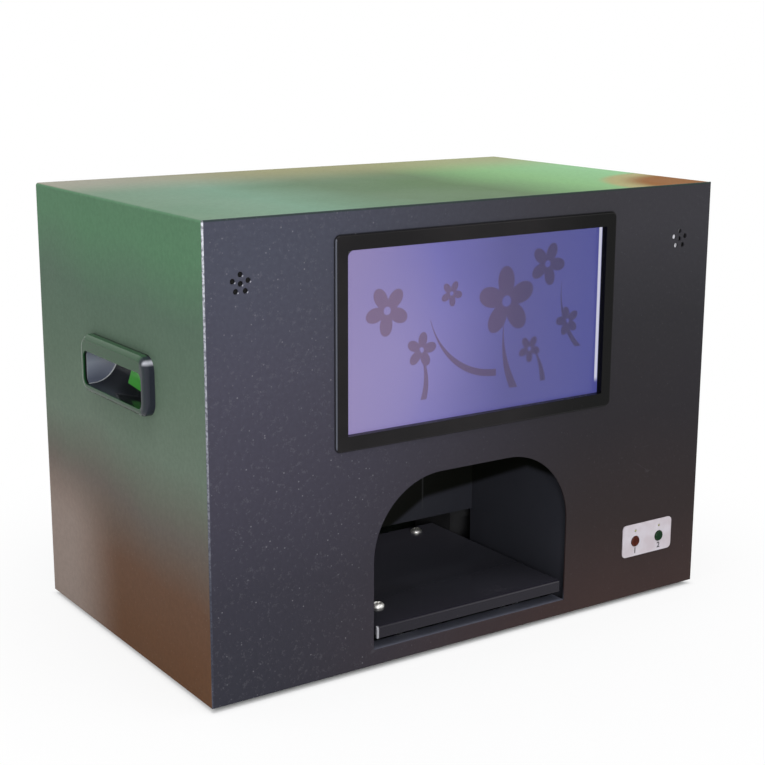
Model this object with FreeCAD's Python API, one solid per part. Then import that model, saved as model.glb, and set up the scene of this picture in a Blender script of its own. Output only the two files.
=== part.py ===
import FreeCAD, Part
import math
import os

# Digital nail art printer, in millimetres: a folded sheet-metal box with a screen, a hand aperture with a
# sliding tray, a belt-driven print carriage above the tray, and the electronics on a shelf over both.
# Frame: the origin is on the floor under the middle of the box, +X runs to the right seen from the
# front, the front faces -Y, and +Z is up.

V = FreeCAD.Vector
AXIS_X, AXIS_Y, AXIS_Z = V(1, 0, 0), V(0, 1, 0), V(0, 0, 1)

# ---- what the box has to hold, which sets its outer size
CARRIAGE_SPAN = 380.0    # between the side plates of the print mechanism
SIDE_SPACE = 70.0        # from each side plate to the outside of the box
ROD_LENGTH = 288.0       # rods that the tray runs on
ROD_FRONT = 20.0         # front plane to the rods' front end
ROD_REAR = 8.0           # rods' rear end to the rear plane
SILL_HEIGHT = 14.0       # box bottom to the aperture's sill
APERTURE_HEIGHT = 144.5
SCREEN_GAP = 31.5        # aperture top to the bezel
BEZEL_HEIGHT = 173.5
TOP_MARGIN = 19.5        # bezel to the top of the box

# ---- how the forms are cut
OVER = 1.0               # how far a cutter runs past the faces it opens
SAME = 0.01              # places nearer than this are one place
SHANK_SIDES = 8          # sides of small and hidden round forms
SMALL_SIDES = 12
HEAD_SIDES = 16
ROUND_SIDES = 24
LARGE_SIDES = 40
SMALL_FLATS = 4          # flats round each corner of a small plate
CORNER_FLATS = 8         # flats round each corner of a moulded plate
EDGE_FLATS = 4           # flats across its rounded front edge

# ---- sheet metal and feet
SHEET = 1.5
EDGE_R = 1.2             # rounded outer edge of the front plate
BEND_R = 2.5             # outer bend radius of the folded sheets
SHARP_R = 0.2            # inner corner where a fold is as deep as its bend
FIT = 0.3                # clearance round whatever drops in or moves
SEAT_FIT = 0.02          # clearance of a bar in the bore that holds it
RETURN_DEPTH = 14.0      # folded returns behind the front plate
FLANGE = 10.0            # folded flanges round the rear
FOOT_HEIGHT = 4.0
FOOT_R = 11.0
FOOT_TAPER = 1.5
FOOT_STEM_R = 3.0
FOOT_HEAD_R = 4.5
FOOT_HEAD_H = 3.0
FOOT_TIP_R = 2.5
FOOT_INSET_X = 35.0
FOOT_INSET_Y = 35.0

# ---- hand aperture and bay
APERTURE_WIDTH = 207.5
APERTURE_R = 68.0
BAY_X = -5.0             # middle of the aperture, tray and tray drive
SILL_DEPTH = 16.0
LINER_GAP = 7.0          # aperture edge to the liner's walls
LINER_HEADROOM = 9.5     # aperture top to the liner's ceiling
LINER_WALL = 2.0
LINER_R = 6.0
LINER_FOOT = 12.0        # feet of the liner on the base
APRON_HEIGHT = 27.0      # tray top to the lower edge of the liner's back
APRON_GAP = 16.0         # liner's back to the carriage
CAMERA_FROM_FRONT = 98.0
CAMERA_SIZE = 30.0
CAMERA_HEIGHT = 14.0
CAMERA_BODY = 16.0
LENS_R = 4.0
LENS_CURVE = ((1.0, 0.0), (1.0, 0.5), (0.7, 0.85), (0.3, 1.0))  # shares of its radius and of its depth
BARREL_WALL = 2.0
BARREL_PROUD = 2.0       # below the liner's ceiling

# ---- screen
SCREEN_X = -1.0
BEZEL_RIM = 6.0          # bezel beyond each side of the glass
BEZEL_R = 5.0
BEZEL_PROUD = 2.0
BEZEL_EDGE_R = 1.2
COLLAR_WALL = 2.0
COLLAR_DEPTH = 4.0       # from the front plane back to the glass
GLASS_WIDTH = 278.0
GLASS_HEIGHT = 159.0
GLASS_REST = 5.0         # bezel's ledge in front of the edge of the glass
GLASS_THICK = 1.8
GLASS_R = 2.0
PANEL_INSET = (3.0, 1.0)  # from the glass edge, across and up
PANEL_THICK = 5.8
BRACKET_WIDTH = 20.0
BRACKET_REACH = 14.0
BRACKET_FOOT = 9.0

# ---- speakers
SPEAKER_INSET_LEFT = 31.0  # sides of the box to the middles of the speakers
SPEAKER_INSET_RIGHT = 37.0
SPEAKER_DROP = 49.2      # below the top of the box
SPEAKER_R = 20.0
SPEAKER_RIM = 3.0
BASKET_DEPTH = 11.0
MAGNET_R = 12.0
MAGNET_LENGTH = 8.0
CONE_R = 7.0             # bottom of the cone
CONE_DEPTH = 5.0
SPEAKER_HOLE_R = 2.25
SPEAKER_RING_R = 7.0
SPEAKER_RING_COUNT = 5

# ---- buttons
BUTTONS_INSET_X = 61.5   # from the right side of the box to the middle of the label plate
BUTTONS_RISE = 55.0      # box bottom to the middle of the label plate
LABEL_WIDTH = 61.2
LABEL_HEIGHT = 31.0
LABEL_THICK = 0.8
LABEL_R = 4.0
BUTTON_PITCH = 29.7
BUTTON_R = 5.0
BUTTON_DROP = 1.2        # below the middle of the label plate
BUTTON_PROUD = 1.8
CAP_BEVEL = 0.7
CAP_FLANGE = 1.2
STEM_R = 1.5
STEM_ENGAGE = 0.5        # of the stem in its switch at rest
LAMP_R = 1.0
LAMP_TIP = 0.6           # share of the radius at the nose
LAMP_PROUD = 0.4
LAMP_RISE = 9.0          # above the middle of the label plate
SWITCH_SIZE = 12.0
SWITCH_HEIGHT = 4.3
SWITCH_BORE = 3.3
BOARD_THICK = 1.6
STUD_R = 2.5
STUD_INSET = (4.0, 6.0)  # from the button board's edges
BUTTON_BOARD_BACK = 8.0  # length of the studs behind the front plate

# ---- pull handles
HANDLE_WIDTH = 126.0
HANDLE_HEIGHT = 50.0
HANDLE_DROP = 142.0      # top of the box to the handle's middle
HANDLE_FORWARD = 9.0     # middle of the box to the handle's middle, towards the front
HANDLE_PROUD = 9.0
HANDLE_R = 13.0
HANDLE_EDGE_R = 4.5
POCKET_WIDTH = 112.0
POCKET_FLOOR = 18.5      # handle's middle down to the pocket's floor
POCKET_TOP = 19.0        # handle's middle up to the pocket's roof
MOUTH_TOP = 11.0         # handle's middle up to the grip bar
MOUTH_R = 6.0
POCKET_DEPTH = 31.0      # from the handle's face
POCKET_BOWL_R = 23.0
POCKET_ROOF_R = 6.0
POCKET_WALL = 2.0
GRIP_THICK = 3.0

# ---- hand tray and what carries it
TRAY_SIDE_GAP = 4.5
TRAY_SETBACK = 1.7       # behind the front plane
TRAY_LENGTH = 196.3
TRAY_SHEET = 2.0
TRAY_BEND_R = 2.5
LIP_DEPTH = 10.5
TRAY_SIDE_FOLD = 8.0
SCREW_LEFT = -73.0       # tray screws, from the middle of the bay and from the front plane
SCREW_RIGHT = 70.0
SCREW_FRONT = 40.0
SCREW_FROM_REAR = 14.0   # tray's rear edge to the rear screws
TRAY_SCREW_HEAD_R = 4.0
TRAY_SCREW_HEAD_H = 3.0
TRAY_SCREW_R = 2.0
STANDOFF_R = 4.0
STANDOFF_HEIGHT = 4.0
CARRIER_MARGIN = 9.0
CARRIER_THICK = 4.0
ROD_R = 4.0
ROD_PITCH = 112.0
ROD_RISE = 10.5          # base to the rods' axis
BLOCK_WIDTH = 22.0
BLOCK_LENGTH = 24.0
BLOCK_TOP = 11.0         # rod axis to the carrier
BLOCK_BOTTOM = 9.0
BLOCK_FROM_REAR = 10.0   # carrier's rear edge to the middle of the rear bearing blocks
BLOCK_PITCH = 70.0       # rear pair to the front pair
SUPPORT_LENGTH = 10.0
SUPPORT_TOP = 7.5        # rod axis to the top of the supports

# ---- toothed belts and pulleys, 2 mm pitch
BELT_PITCH = 2.0
BELT_WIDTH = 6.0
BELT_OUT = 0.8           # pitch line to the belt's back
BELT_IN = 0.4            # pitch line to the belt's inside
TRAY_TEETH = 16
CARRIAGE_TEETH = 20
PULLEY_FLANGE = 2.0
PULLEY_BORE_R = 2.0
PULLEY_RIM = 0.5         # flange beyond the belt's back
TOOTH_PROFILE = ((0.0, 0.0), (0.5, 0.0), (0.62, 0.75), (0.88, 0.75))  # share of a pitch, and depth
TRAY_BELT_RISE = 12.5    # base to the tray pulleys' axis
IDLER_FROM_ROD = 28.0    # rods' front end to the front idler
TRAY_PULLEY_REAR = 18.0  # rear plane to the tray's drive pulley
TRAY_MOTOR_SIZE = 25.0
TRAY_MOTOR_LENGTH = 32.0
MOTOR_GAP = 3.0          # pulley to the motor's face
MOTOR_TRIM = 0.09        # these shares are of the motor's size across
MOTOR_PILOT_R = 0.26
MOTOR_CORE_R = 0.54
MOTOR_BAND = (0.28, 0.72)  # shares of its length
MOTOR_STEP = 1.0
MOTOR_BORE = 10.0
PILOT_HEIGHT = 1.5
SHAFT_REACH = 6.0        # of the shaft into its motor
CLAMP_FROM_REAR = 50.0   # carrier's rear edge to the middle of the belt clamp
CLAMP_LENGTH = 16.0
CLAMP_JAW = 1.6
CLAMP_WEB = 2.0
FORK_CHEEK = 2.5
FORK_LENGTH = 12.0
FORK_TOP = 5.0           # above the idler's axis
FORK_FLANGE = 7.5
FORK_FOOT_LENGTH = 18.0
FORK_FOOT_THICK = 2.0

# ---- print mechanism
HEAD_CLEAR = 22.0        # tray top to the print head
HEAD_HEIGHT = 5.0
HEAD_WIDTH = 80.0
HEAD_DEPTH = 60.0
NOZZLE_STEP = 1.0
NOZZLE_INSET = 8.0
CARRIAGE_WIDTH = 110.0
CARRIAGE_DEPTH = 76.0
CARRIAGE_HEIGHT = 86.0
CARRIAGE_WALL = 2.5
CARTRIDGES = 4
CARTRIDGE_DROP = 4.0      # below the carriage's top
TAB_INSET = (3.0, 4.0)
TAB_LENGTH = 22.0
TAB_HEIGHT = 10.0
PARK_GAP = 3.0           # parked carriage to the right side plate
SHAFT_R = 5.0
SHAFT_RISE = 51.0        # print head to the shaft's axis
SHAFT_BACK = 14.0        # carriage to the shaft's axis
SHAFT_PROUD = 3.0        # past the side plates
HUB_WIDTH = 60.0
HUB_SIZE = 28.0
ARM_THICK = 4.0
NECK_HEIGHT = 12.0
NECK_GAP = 1.0           # shaft to the neck of the belt clamp
POST_THICK = 3.0
POST_LAP = 12.0
FINGER_LAP = 2.0         # past the rail
RAIL_BACK = 29.0         # shaft axis to the rear face of the rail
RAIL_BOTTOM = 15.0       # below the shaft axis
RAIL_TOP = 65.0          # above the shaft axis
RAIL_LIP = 8.0
BELT_RISE = 40.0         # shaft axis to the carriage pulleys' axis
BELT_FROM_RAIL = 10.0    # rail's rear face to the middle of the belt
PULLEY_INSET = 25.0      # side plate to the carriage pulleys' axis
CARRIAGE_MOTOR_SIZE = 42.0
CARRIAGE_MOTOR_LENGTH = 24.0
CARRIAGE_MOTOR_GAP = 4.0  # motor to the rear panel
FRAME_FOOT = 14.0
FRAME_BEVEL = 25.0       # cut-off upper front corner of the side plates
FRAME_FRONT = 8.0        # carriage front to the front edge of the side plates
SHELF_RISE = 95.0        # shaft axis to the shelf
CAP_GAP = 0.5            # capping station to the print head
CAP_LIP = 3.0
CAP_INSET = 5.0          # tray to the capping station
CAP_WELL = 6.0
CAP_NOTCH = 12.0
STRIP_HEIGHT = 10.0
STRIP_THICK = 0.5
STRIP_RISE = 22.0        # shaft axis to the middle of the encoder strip
STRIP_GAP = 4.0          # carriage to the strip
PAD_HEIGHT = 20.0
PAD_GAP = 6.0            # pad to the left side plate
PAD_LENGTH = 110.0

# ---- electronics
SHELF_OVERHANG = 30.0
SHELF_DEPTH = 184.0
SHELF_GAP = 5.0          # shelf's rear edge to the rear panel
SHELF_LIP = 8.0
BOARD_SIZE = 170.0
BOARD_X = -10.0
BOARD_STANDOFF = 6.0
BOARD_GAP = 5.0          # board's rear edge to the rear panel
BOARD_HOLE_INSET = 6.0
SLOT_X = 128.0           # board's left edge to the first memory slot
SLOT_Y = 20.0
SLOT_SIZE = (6.0, 130.0, 9.0)
SLOT_PITCH = 10.0
SLOT_COUNT = 2
STICK_THICK = 1.2
STICK_INSET = 2.0
STICK_HEIGHT = 21.0
STAGE_SIZE = 8.0
STAGE_PITCH = 12.0
STAGE_HEIGHT = 12.0
STAGE_COUNT = 5
HEADER_SIZE = (8.0, 50.0, 10.0)
HEADER_Y = 40.0
SUPPLY_WIDTH = 90.0
SUPPLY_LENGTH = 150.0
SUPPLY_HEIGHT = 45.0
SUPPLY_GAP = 8.0         # shelf edge to the power supply
LOUVRE_COUNT = 9
LOUVRE_INSET = 12.0
LOUVRE_START = 20.0
LOUVRE_PITCH = 12.0
LOUVRE_WIDTH = 4.0
LOUVRE_DEPTH = 1.2
SINK_SIZE = 60.0
SINK_HEIGHT = 28.0
SINK_FINS = 9
SINK_PLATE = 5.0
SINK_FIN = 2.0
SINK_X = 45.0            # board's left edge to the heat sink
SINK_Y = 60.0            # board's front edge to the heat sink
PORT_DEPTH = 22.0
PORT_PROUD = 1.0
SOCKET_DEPTH = 13.0
USB_INSETS = (60.0, 35.0)  # left of the board's middle
USB_SIZE = (13.2, 15.8)
USB_OPENING = (12.0, 5.1)
USB_RISES = (1.0, 8.9)
LAN_INSET = 5.0
LAN_SIZE = (16.0, 13.6)
LAN_OPENING = (12.0, 9.6)
LAN_RISES = (1.5,)
TONGUE_WIDTH = 10.0
TONGUE_THICK = 1.7
TONGUE_RISE = 2.8
TONGUE_SETBACK = 1.5
CONTROL_LENGTH = 90.0
CONTROL_HEIGHT = 80.0
CONTROL_INSET = 10.0     # carriage front to the control board
CONTROL_RISE = 50.0
CONTROL_HOLE_INSET = 5.0
PLUG_SIZE = (8.0, 14.0, 6.0)
PLUG_PITCH = 22.0
CHIP_SIZE = (3.0, 16.0, 16.0)
CHIP_PITCH = 26.0

# ---- rear panel fittings
FAN_SIZE = 60.0
FAN_DEPTH = 15.0
FAN_BORE_R = 28.0
FAN_HUB_R = 13.0
FAN_CORNER_R = 4.0
FAN_BLADES = 7
BLADE_CHORD = 17.0
BLADE_THICK = 1.4
BLADE_PITCH = 34.0       # degrees
BLADE_ROOT = 1.5         # of each blade in the hub
BLADE_GAP = 1.0          # blade tips to the bore
ROTOR_SETBACK = 0.8      # rotor to the rear panel
STRUT_COUNT = 3
STRUT_WIDTH = 4.0
STRUT_THICK = 2.5
FAN_HOLE_INSET = 5.0
FAN_INSET_X = 90.0
FAN_DROP = 87.0
GUARD_WIRE_R = 0.9
GUARD_RINGS = 3
GUARD_EYE_R = 4.0
INLET_INSET_X = 60.0
INLET_RISE = 56.0
INLET_FLANGE = (50.0, 24.0, 3.0)
INLET_BODY = (30.0, 21.5)
INLET_SOCKET = (24.6, 16.8)
INLET_DEPTH = 21.0
INLET_SOCKET_DEPTH = 18.0
INLET_CORNER_R = 5.0
INLET_TRIM = 4.5
PIN_SIZE = (2.0, 4.0)
PIN_PLACES = ((-7.0, -2.0), (0.0, 3.0), (7.0, -2.0))
PIN_SETBACK = 2.0
ROCKER_RISE = 96.0
ROCKER_BEZEL = (21.0, 26.0, 1.7)
ROCKER_BODY = (16.5, 22.0)
HOUSING_R = 2.0
HOUSING_DEPTH = 18.0
HOUSING_FLOOR = 2.0
ROCKER_WIDTH = 11.6
ROCKER_R = 9.0
ROCKER_TILT = 10.0       # degrees, as the V of its face
ROCKER_VEE = 7.0
ROCKER_BACK = 3.0        # pivot to the rocker's flat back
ROCKER_PIVOT_DEPTH = 6.0  # rear panel's face to the rocker's pivot
ROCKER_PIVOT_R = 1.5
PIVOT_LENGTH = 1.2
VENT_COUNT = 12
VENT_PITCH = 8.0
VENT_WIDTH = 3.0
VENT_HEIGHT = 36.0
VENT_X = -105.0
VENT_DROP = 85.0
SCREW_R = 1.45
SCREW_HEAD_R = 2.8
SCREW_HEAD_H = 2.0
SCREW_LENGTH = 8.0
HEAD_SHOULDER = 0.5      # share of a screw head's height that is straight
HEAD_CROWN = 0.6         # share of its radius at the top

# ---- worked out from the values above
WIDTH = CARRIAGE_SPAN + 2 * SIDE_SPACE
DEPTH = ROD_FRONT + ROD_LENGTH + ROD_REAR
HEIGHT = SILL_HEIGHT + APERTURE_HEIGHT + SCREEN_GAP + BEZEL_HEIGHT + TOP_MARGIN
X_OUT = WIDTH / 2
X_IN = X_OUT - SHEET
Y_FRONT = -DEPTH / 2
Y_PANEL = Y_FRONT + SHEET            # back of the front plate
Y_BACK = DEPTH / 2
Y_FLANGE = Y_BACK - SHEET            # where the rear panel meets the flanges
Y_REAR = Y_FLANGE - SHEET            # inside of the rear panel
Z_BASE = FOOT_HEIGHT
Z_FLOOR = Z_BASE + SHEET
Z_TOP = Z_BASE + HEIGHT
Z_CEILING = Z_TOP - SHEET

SILL_Z = Z_BASE + SILL_HEIGHT
APERTURE_TOP = SILL_Z + APERTURE_HEIGHT
SCREEN_Z = Z_TOP - TOP_MARGIN - BEZEL_HEIGHT / 2
BEZEL_WIDTH = GLASS_WIDTH + 2 * BEZEL_RIM
OPENING_WIDTH = GLASS_WIDTH - 2 * GLASS_REST
OPENING_HEIGHT = GLASS_HEIGHT - 2 * GLASS_REST
Y_GLASS = Y_FRONT + COLLAR_DEPTH
BUTTONS_X = X_OUT - BUTTONS_INSET_X
BUTTONS_Z = Z_BASE + BUTTONS_RISE
BUTTON_XS = (BUTTONS_X - BUTTON_PITCH / 2, BUTTONS_X + BUTTON_PITCH / 2)
BUTTON_Z = BUTTONS_Z - BUTTON_DROP
LAMP_Z = BUTTONS_Z + LAMP_RISE
Y_BUTTON_BOARD = Y_PANEL + BUTTON_BOARD_BACK
SPEAKER_XS = (-X_OUT + SPEAKER_INSET_LEFT, X_OUT - SPEAKER_INSET_RIGHT)
SPEAKER_Z = Z_TOP - SPEAKER_DROP
HANDLE_Y = -HANDLE_FORWARD
HANDLE_Z = Z_TOP - HANDLE_DROP

ROD_Z = Z_FLOOR + ROD_RISE
ROD_XS = (BAY_X - ROD_PITCH / 2, BAY_X + ROD_PITCH / 2)
ROD_Y0 = Y_FRONT + ROD_FRONT
CARRIER_Z = ROD_Z + BLOCK_TOP
TRAY_UNDER = CARRIER_Z + CARRIER_THICK + STANDOFF_HEIGHT
TRAY_Z = TRAY_UNDER + TRAY_SHEET
TRAY_HALF = APERTURE_WIDTH / 2 - TRAY_SIDE_GAP
TRAY_Y0 = Y_FRONT + TRAY_SETBACK
SCREW_YS = (Y_FRONT + SCREW_FRONT, TRAY_Y0 + TRAY_LENGTH - SCREW_FROM_REAR)
CARRIER_Y1 = SCREW_YS[1] + CARRIER_MARGIN
TRAY_SCREW_PLACES = (
    (BAY_X + SCREW_LEFT, SCREW_YS[0]),
    (BAY_X + SCREW_RIGHT, SCREW_YS[1]),
    (BAY_X + SCREW_LEFT, SCREW_YS[1]),
)
TRAY_PITCH_R = TRAY_TEETH * BELT_PITCH / (2 * math.pi)
TRAY_BELT_Z = Z_FLOOR + TRAY_BELT_RISE
IDLER_Y = ROD_Y0 + IDLER_FROM_ROD
TRAY_PULLEY_Y = Y_BACK - TRAY_PULLEY_REAR

RAIL_Y = Y_REAR - CARRIAGE_MOTOR_GAP - CARRIAGE_MOTOR_LENGTH
SHAFT_Y = RAIL_Y - RAIL_BACK
CARRIAGE_Y1 = SHAFT_Y - SHAFT_BACK
CARRIAGE_Y0 = CARRIAGE_Y1 - CARRIAGE_DEPTH
HEAD_Z = TRAY_Z + HEAD_CLEAR
CARRIAGE_Z = HEAD_Z + HEAD_HEIGHT
CARRIAGE_TOP = CARRIAGE_Z + CARRIAGE_HEIGHT
SHAFT_Z = HEAD_Z + SHAFT_RISE
PLATE_X = CARRIAGE_SPAN / 2          # inner faces of the side plates
PARK_X = PLATE_X - PARK_GAP - CARRIAGE_WIDTH / 2
PULLEY_X = PLATE_X - PULLEY_INSET
CARRIAGE_PITCH_R = CARRIAGE_TEETH * BELT_PITCH / (2 * math.pi)
CARRIAGE_BELT_Z = SHAFT_Z + BELT_RISE
CARRIAGE_BELT_Y = RAIL_Y - BELT_FROM_RAIL
SHELF_Z = SHAFT_Z + SHELF_RISE
SHELF_TOP = SHELF_Z + SHEET
SHELF_HALF = PLATE_X + SHELF_OVERHANG
SHELF_Y1 = Y_REAR - SHELF_GAP
APRON_Y = CARRIAGE_Y0 - APRON_GAP - LINER_WALL
LINER_HALF = APERTURE_WIDTH / 2 + LINER_GAP
LINER_CEILING = APERTURE_TOP + LINER_HEADROOM
CAMERA_Y = Y_FRONT + CAMERA_FROM_FRONT

BOARD_Y1 = Y_REAR - BOARD_GAP
BOARD_Z = SHELF_TOP + BOARD_STANDOFF
PORT_Z = BOARD_Z + BOARD_THICK
USB_XS = [BOARD_X - inset for inset in USB_INSETS]
LAN_X = BOARD_X - LAN_INSET
FAN_X = X_OUT - FAN_INSET_X
FAN_Z = Z_TOP - FAN_DROP
INLET_X = -X_OUT + INLET_INSET_X
INLET_Z = Z_BASE + INLET_RISE
ROCKER_Z = Z_BASE + ROCKER_RISE
ROCKER_Y = Y_FLANGE - ROCKER_PIVOT_DEPTH
VENT_Z = Z_TOP - VENT_DROP
FLANGE_X = X_IN - FLANGE / 2
CASE_SCREWS = (
    [(side * FLANGE_X, Z_BASE + HEIGHT * share) for side in (-1, 1) for share in (0.2, 0.75)]
    + [(WIDTH * share, Z_CEILING - FLANGE / 2) for share in (-0.3, 0.3)]
    + [(WIDTH * share, Z_FLOOR + FLANGE / 2) for share in (-0.3, 0.3)]
)


# ---- shapes that several pieces use

def box(x0, x1, y0, y1, z0, z1):
    """Box between two corners."""
    return Part.makeBox(x1 - x0, y1 - y0, z1 - z0, V(x0, y0, z0))


def join(*shapes):
    """One solid from touching shapes."""
    return shapes[0].multiFuse(list(shapes[1:])).removeSplitter()


def outline(*steps):
    """Face from a closed run of points; a triple (middle, end) after a point bends that side as an arc."""
    edges = []
    here = steps[0]
    for step in steps[1:] + (steps[0],):
        if isinstance(step, tuple):
            edges.append(Part.Arc(here, step[0], step[1]).toShape())
            here = step[1]
        else:
            if (step - here).Length > SAME:
                edges.append(Part.LineSegment(here, step).toShape())
            here = step
    return Part.Face(Part.Wire(edges))


def corner(centre, radius, u, v):
    """Quarter arc about a centre from direction u to direction v, as the (middle, end) of a step."""
    return (centre + (u + v) * (radius * math.sqrt(0.5)), centre + v * radius)


def hood(half, middle, top, wall, radius, bottom, y0, y1):
    """Sheet folded into an upside-down U seen from the front, run from y0 to y1."""
    left, right, up = V(-1, 0, 0), V(1, 0, 0), V(0, 0, 1)
    inner_r = max(radius - wall, SHARP_R)
    outer_a = V(middle - half + radius, y0, top - radius)
    outer_b = V(middle + half - radius, y0, top - radius)
    inner_a = V(middle - half + wall + inner_r, y0, top - wall - inner_r)
    inner_b = V(middle + half - wall - inner_r, y0, top - wall - inner_r)
    face = outline(
        V(middle - half, y0, bottom),
        outer_a + left * radius, corner(outer_a, radius, left, up),
        outer_b + up * radius, corner(outer_b, radius, up, right),
        V(middle + half, y0, bottom),
        V(middle + half - wall, y0, bottom),
        inner_b + right * inner_r, corner(inner_b, inner_r, right, up),
        inner_a + up * inner_r, corner(inner_a, inner_r, up, left),
        V(middle - half + wall, y0, bottom))
    return face.extrude(V(0, y1 - y0, 0))


def between(rings):
    """Solid with flat faces between rings of as many points each, closed by the first and the last ring."""
    sides = len(rings[0])
    loops = [rings[0][::-1], rings[-1]]
    for low, high in zip(rings, rings[1:]):
        for i in range(sides):
            j = (i + 1) % sides
            loops.append([low[i], low[j], high[j], high[i]])
    faces = [Part.Face(Part.makePolygon(loop + [loop[0]])) for loop in loops]
    solid = Part.Solid(Part.Shell(faces))
    return solid if solid.Volume > 0 else solid.reversed()


def faceted(levels, sides, origin, axis):
    """Many-sided solid about an axis from (radius, distance along the axis) levels."""
    side = AXIS_Z if abs(axis.z) < 0.5 else AXIS_X
    across = axis.cross(side)
    turns = [2 * math.pi * i / sides for i in range(sides)]
    return between([[origin + axis * h + side * (r * math.cos(t)) + across * (r * math.sin(t)) for t in turns]
                    for r, h in levels])


def moulded_plate(x0, x1, z0, z1, radius, levels, flats=CORNER_FLATS):
    """Plate facing the front with rounded corners, from (inset of its outline, y) levels."""
    centres = [(x1 - radius, z1 - radius), (x0 + radius, z1 - radius),
               (x0 + radius, z0 + radius), (x1 - radius, z0 + radius)]
    rings = []
    for inset, y in levels:
        r = radius - inset
        ring = []
        for quarter, (x, z) in enumerate(centres):
            for i in range(flats + 1):
                turn = math.pi / 2 * (quarter + i / flats)
                ring.append(V(x + r * math.cos(turn), y, z + r * math.sin(turn)))
        rings.append(ring)
    return between(rings)


def plate_xz(x0, x1, z0, z1, radius, y0, y1):
    """Flat plate facing the front, with small rounded corners."""
    return moulded_plate(x0, x1, z0, z1, radius, [(0, y0), (0, y1)], SMALL_FLATS)


def rounded_edge(radius, y0):
    """Levels of a plate's rounded front edge that starts at y0."""
    turns = [math.pi / 2 * i / EDGE_FLATS for i in range(EDGE_FLATS + 1)]
    return [(radius * (1 - math.sin(t)), y0 + radius * (1 - math.cos(t))) for t in turns]


def stud(radius, start, axis, length, sides=SMALL_SIDES):
    """Many-sided bar from a point along an axis, for small or hidden round forms."""
    return faceted([(radius, 0), (radius, length)], sides, start, axis)


def hole(radius, start, axis, depth, sides=SMALL_SIDES):
    """Many-sided cutter for a small hole, run past both of its ends."""
    return stud(radius, start - axis * OVER, axis, depth + 2 * OVER, sides)


def front_edges(shape):
    """Edges round the face nearest the front."""
    limit = shape.BoundBox.YMin + SAME
    return [e for e in shape.Edges if max(v.Point.y for v in e.Vertexes) < limit]


def pan_screw(place, axis, head_r, head_h, shank_r, length):
    """Pan-head screw: its head's seat is at the place and the head points along the axis."""
    shank = faceted([(shank_r, -length), (shank_r, 0)], SHANK_SIDES, place, axis)
    levels = [(head_r, 0), (head_r, head_h * HEAD_SHOULDER), (head_r * HEAD_CROWN, head_h)]
    return join(faceted(levels, SMALL_SIDES, place, axis), shank)


def export(name, *solids):
    """Writes one node, which may be several separate solids."""
    shape = solids[0] if len(solids) == 1 else Part.makeCompound(list(solids))
    shape.exportStep("parts/" + name + ".step")


# ---- enclosure

def aperture(y0, y1):
    """Round-topped hand aperture, from the sill up."""
    left, right, up = V(-1, 0, 0), V(1, 0, 0), V(0, 0, 1)
    x0, x1 = BAY_X - APERTURE_WIDTH / 2, BAY_X + APERTURE_WIDTH / 2
    z0 = SILL_Z - SHEET
    a = V(x0 + APERTURE_R, y0, APERTURE_TOP - APERTURE_R)
    b = V(x1 - APERTURE_R, y0, APERTURE_TOP - APERTURE_R)
    face = outline(
        V(x0, y0, z0),
        a + left * APERTURE_R, corner(a, APERTURE_R, left, up),
        b + up * APERTURE_R, corner(b, APERTURE_R, up, right),
        V(x1, y0, z0))
    return face.extrude(V(0, y1 - y0, 0))


def speaker_holes(x):
    """Holes of one speaker: one in the middle and a ring that starts at the top."""
    places = [(x, SPEAKER_Z)]
    for i in range(SPEAKER_RING_COUNT):
        angle = 2 * math.pi * i / SPEAKER_RING_COUNT
        places.append((x + SPEAKER_RING_R * math.sin(angle), SPEAKER_Z + SPEAKER_RING_R * math.cos(angle)))
    return [hole(SPEAKER_HOLE_R, V(px, Y_FRONT, pz), AXIS_Y, SHEET) for px, pz in places]


def button_holes(y0, depth):
    """Holes for the button caps and the lamps through a sheet."""
    holes = []
    for x in BUTTON_XS:
        holes.append(hole(BUTTON_R + FIT, V(x, y0, BUTTON_Z), AXIS_Y, depth, ROUND_SIDES))
        holes.append(hole(LAMP_R + FIT, V(x, y0, LAMP_Z), AXIS_Y, depth))
    return holes


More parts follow.
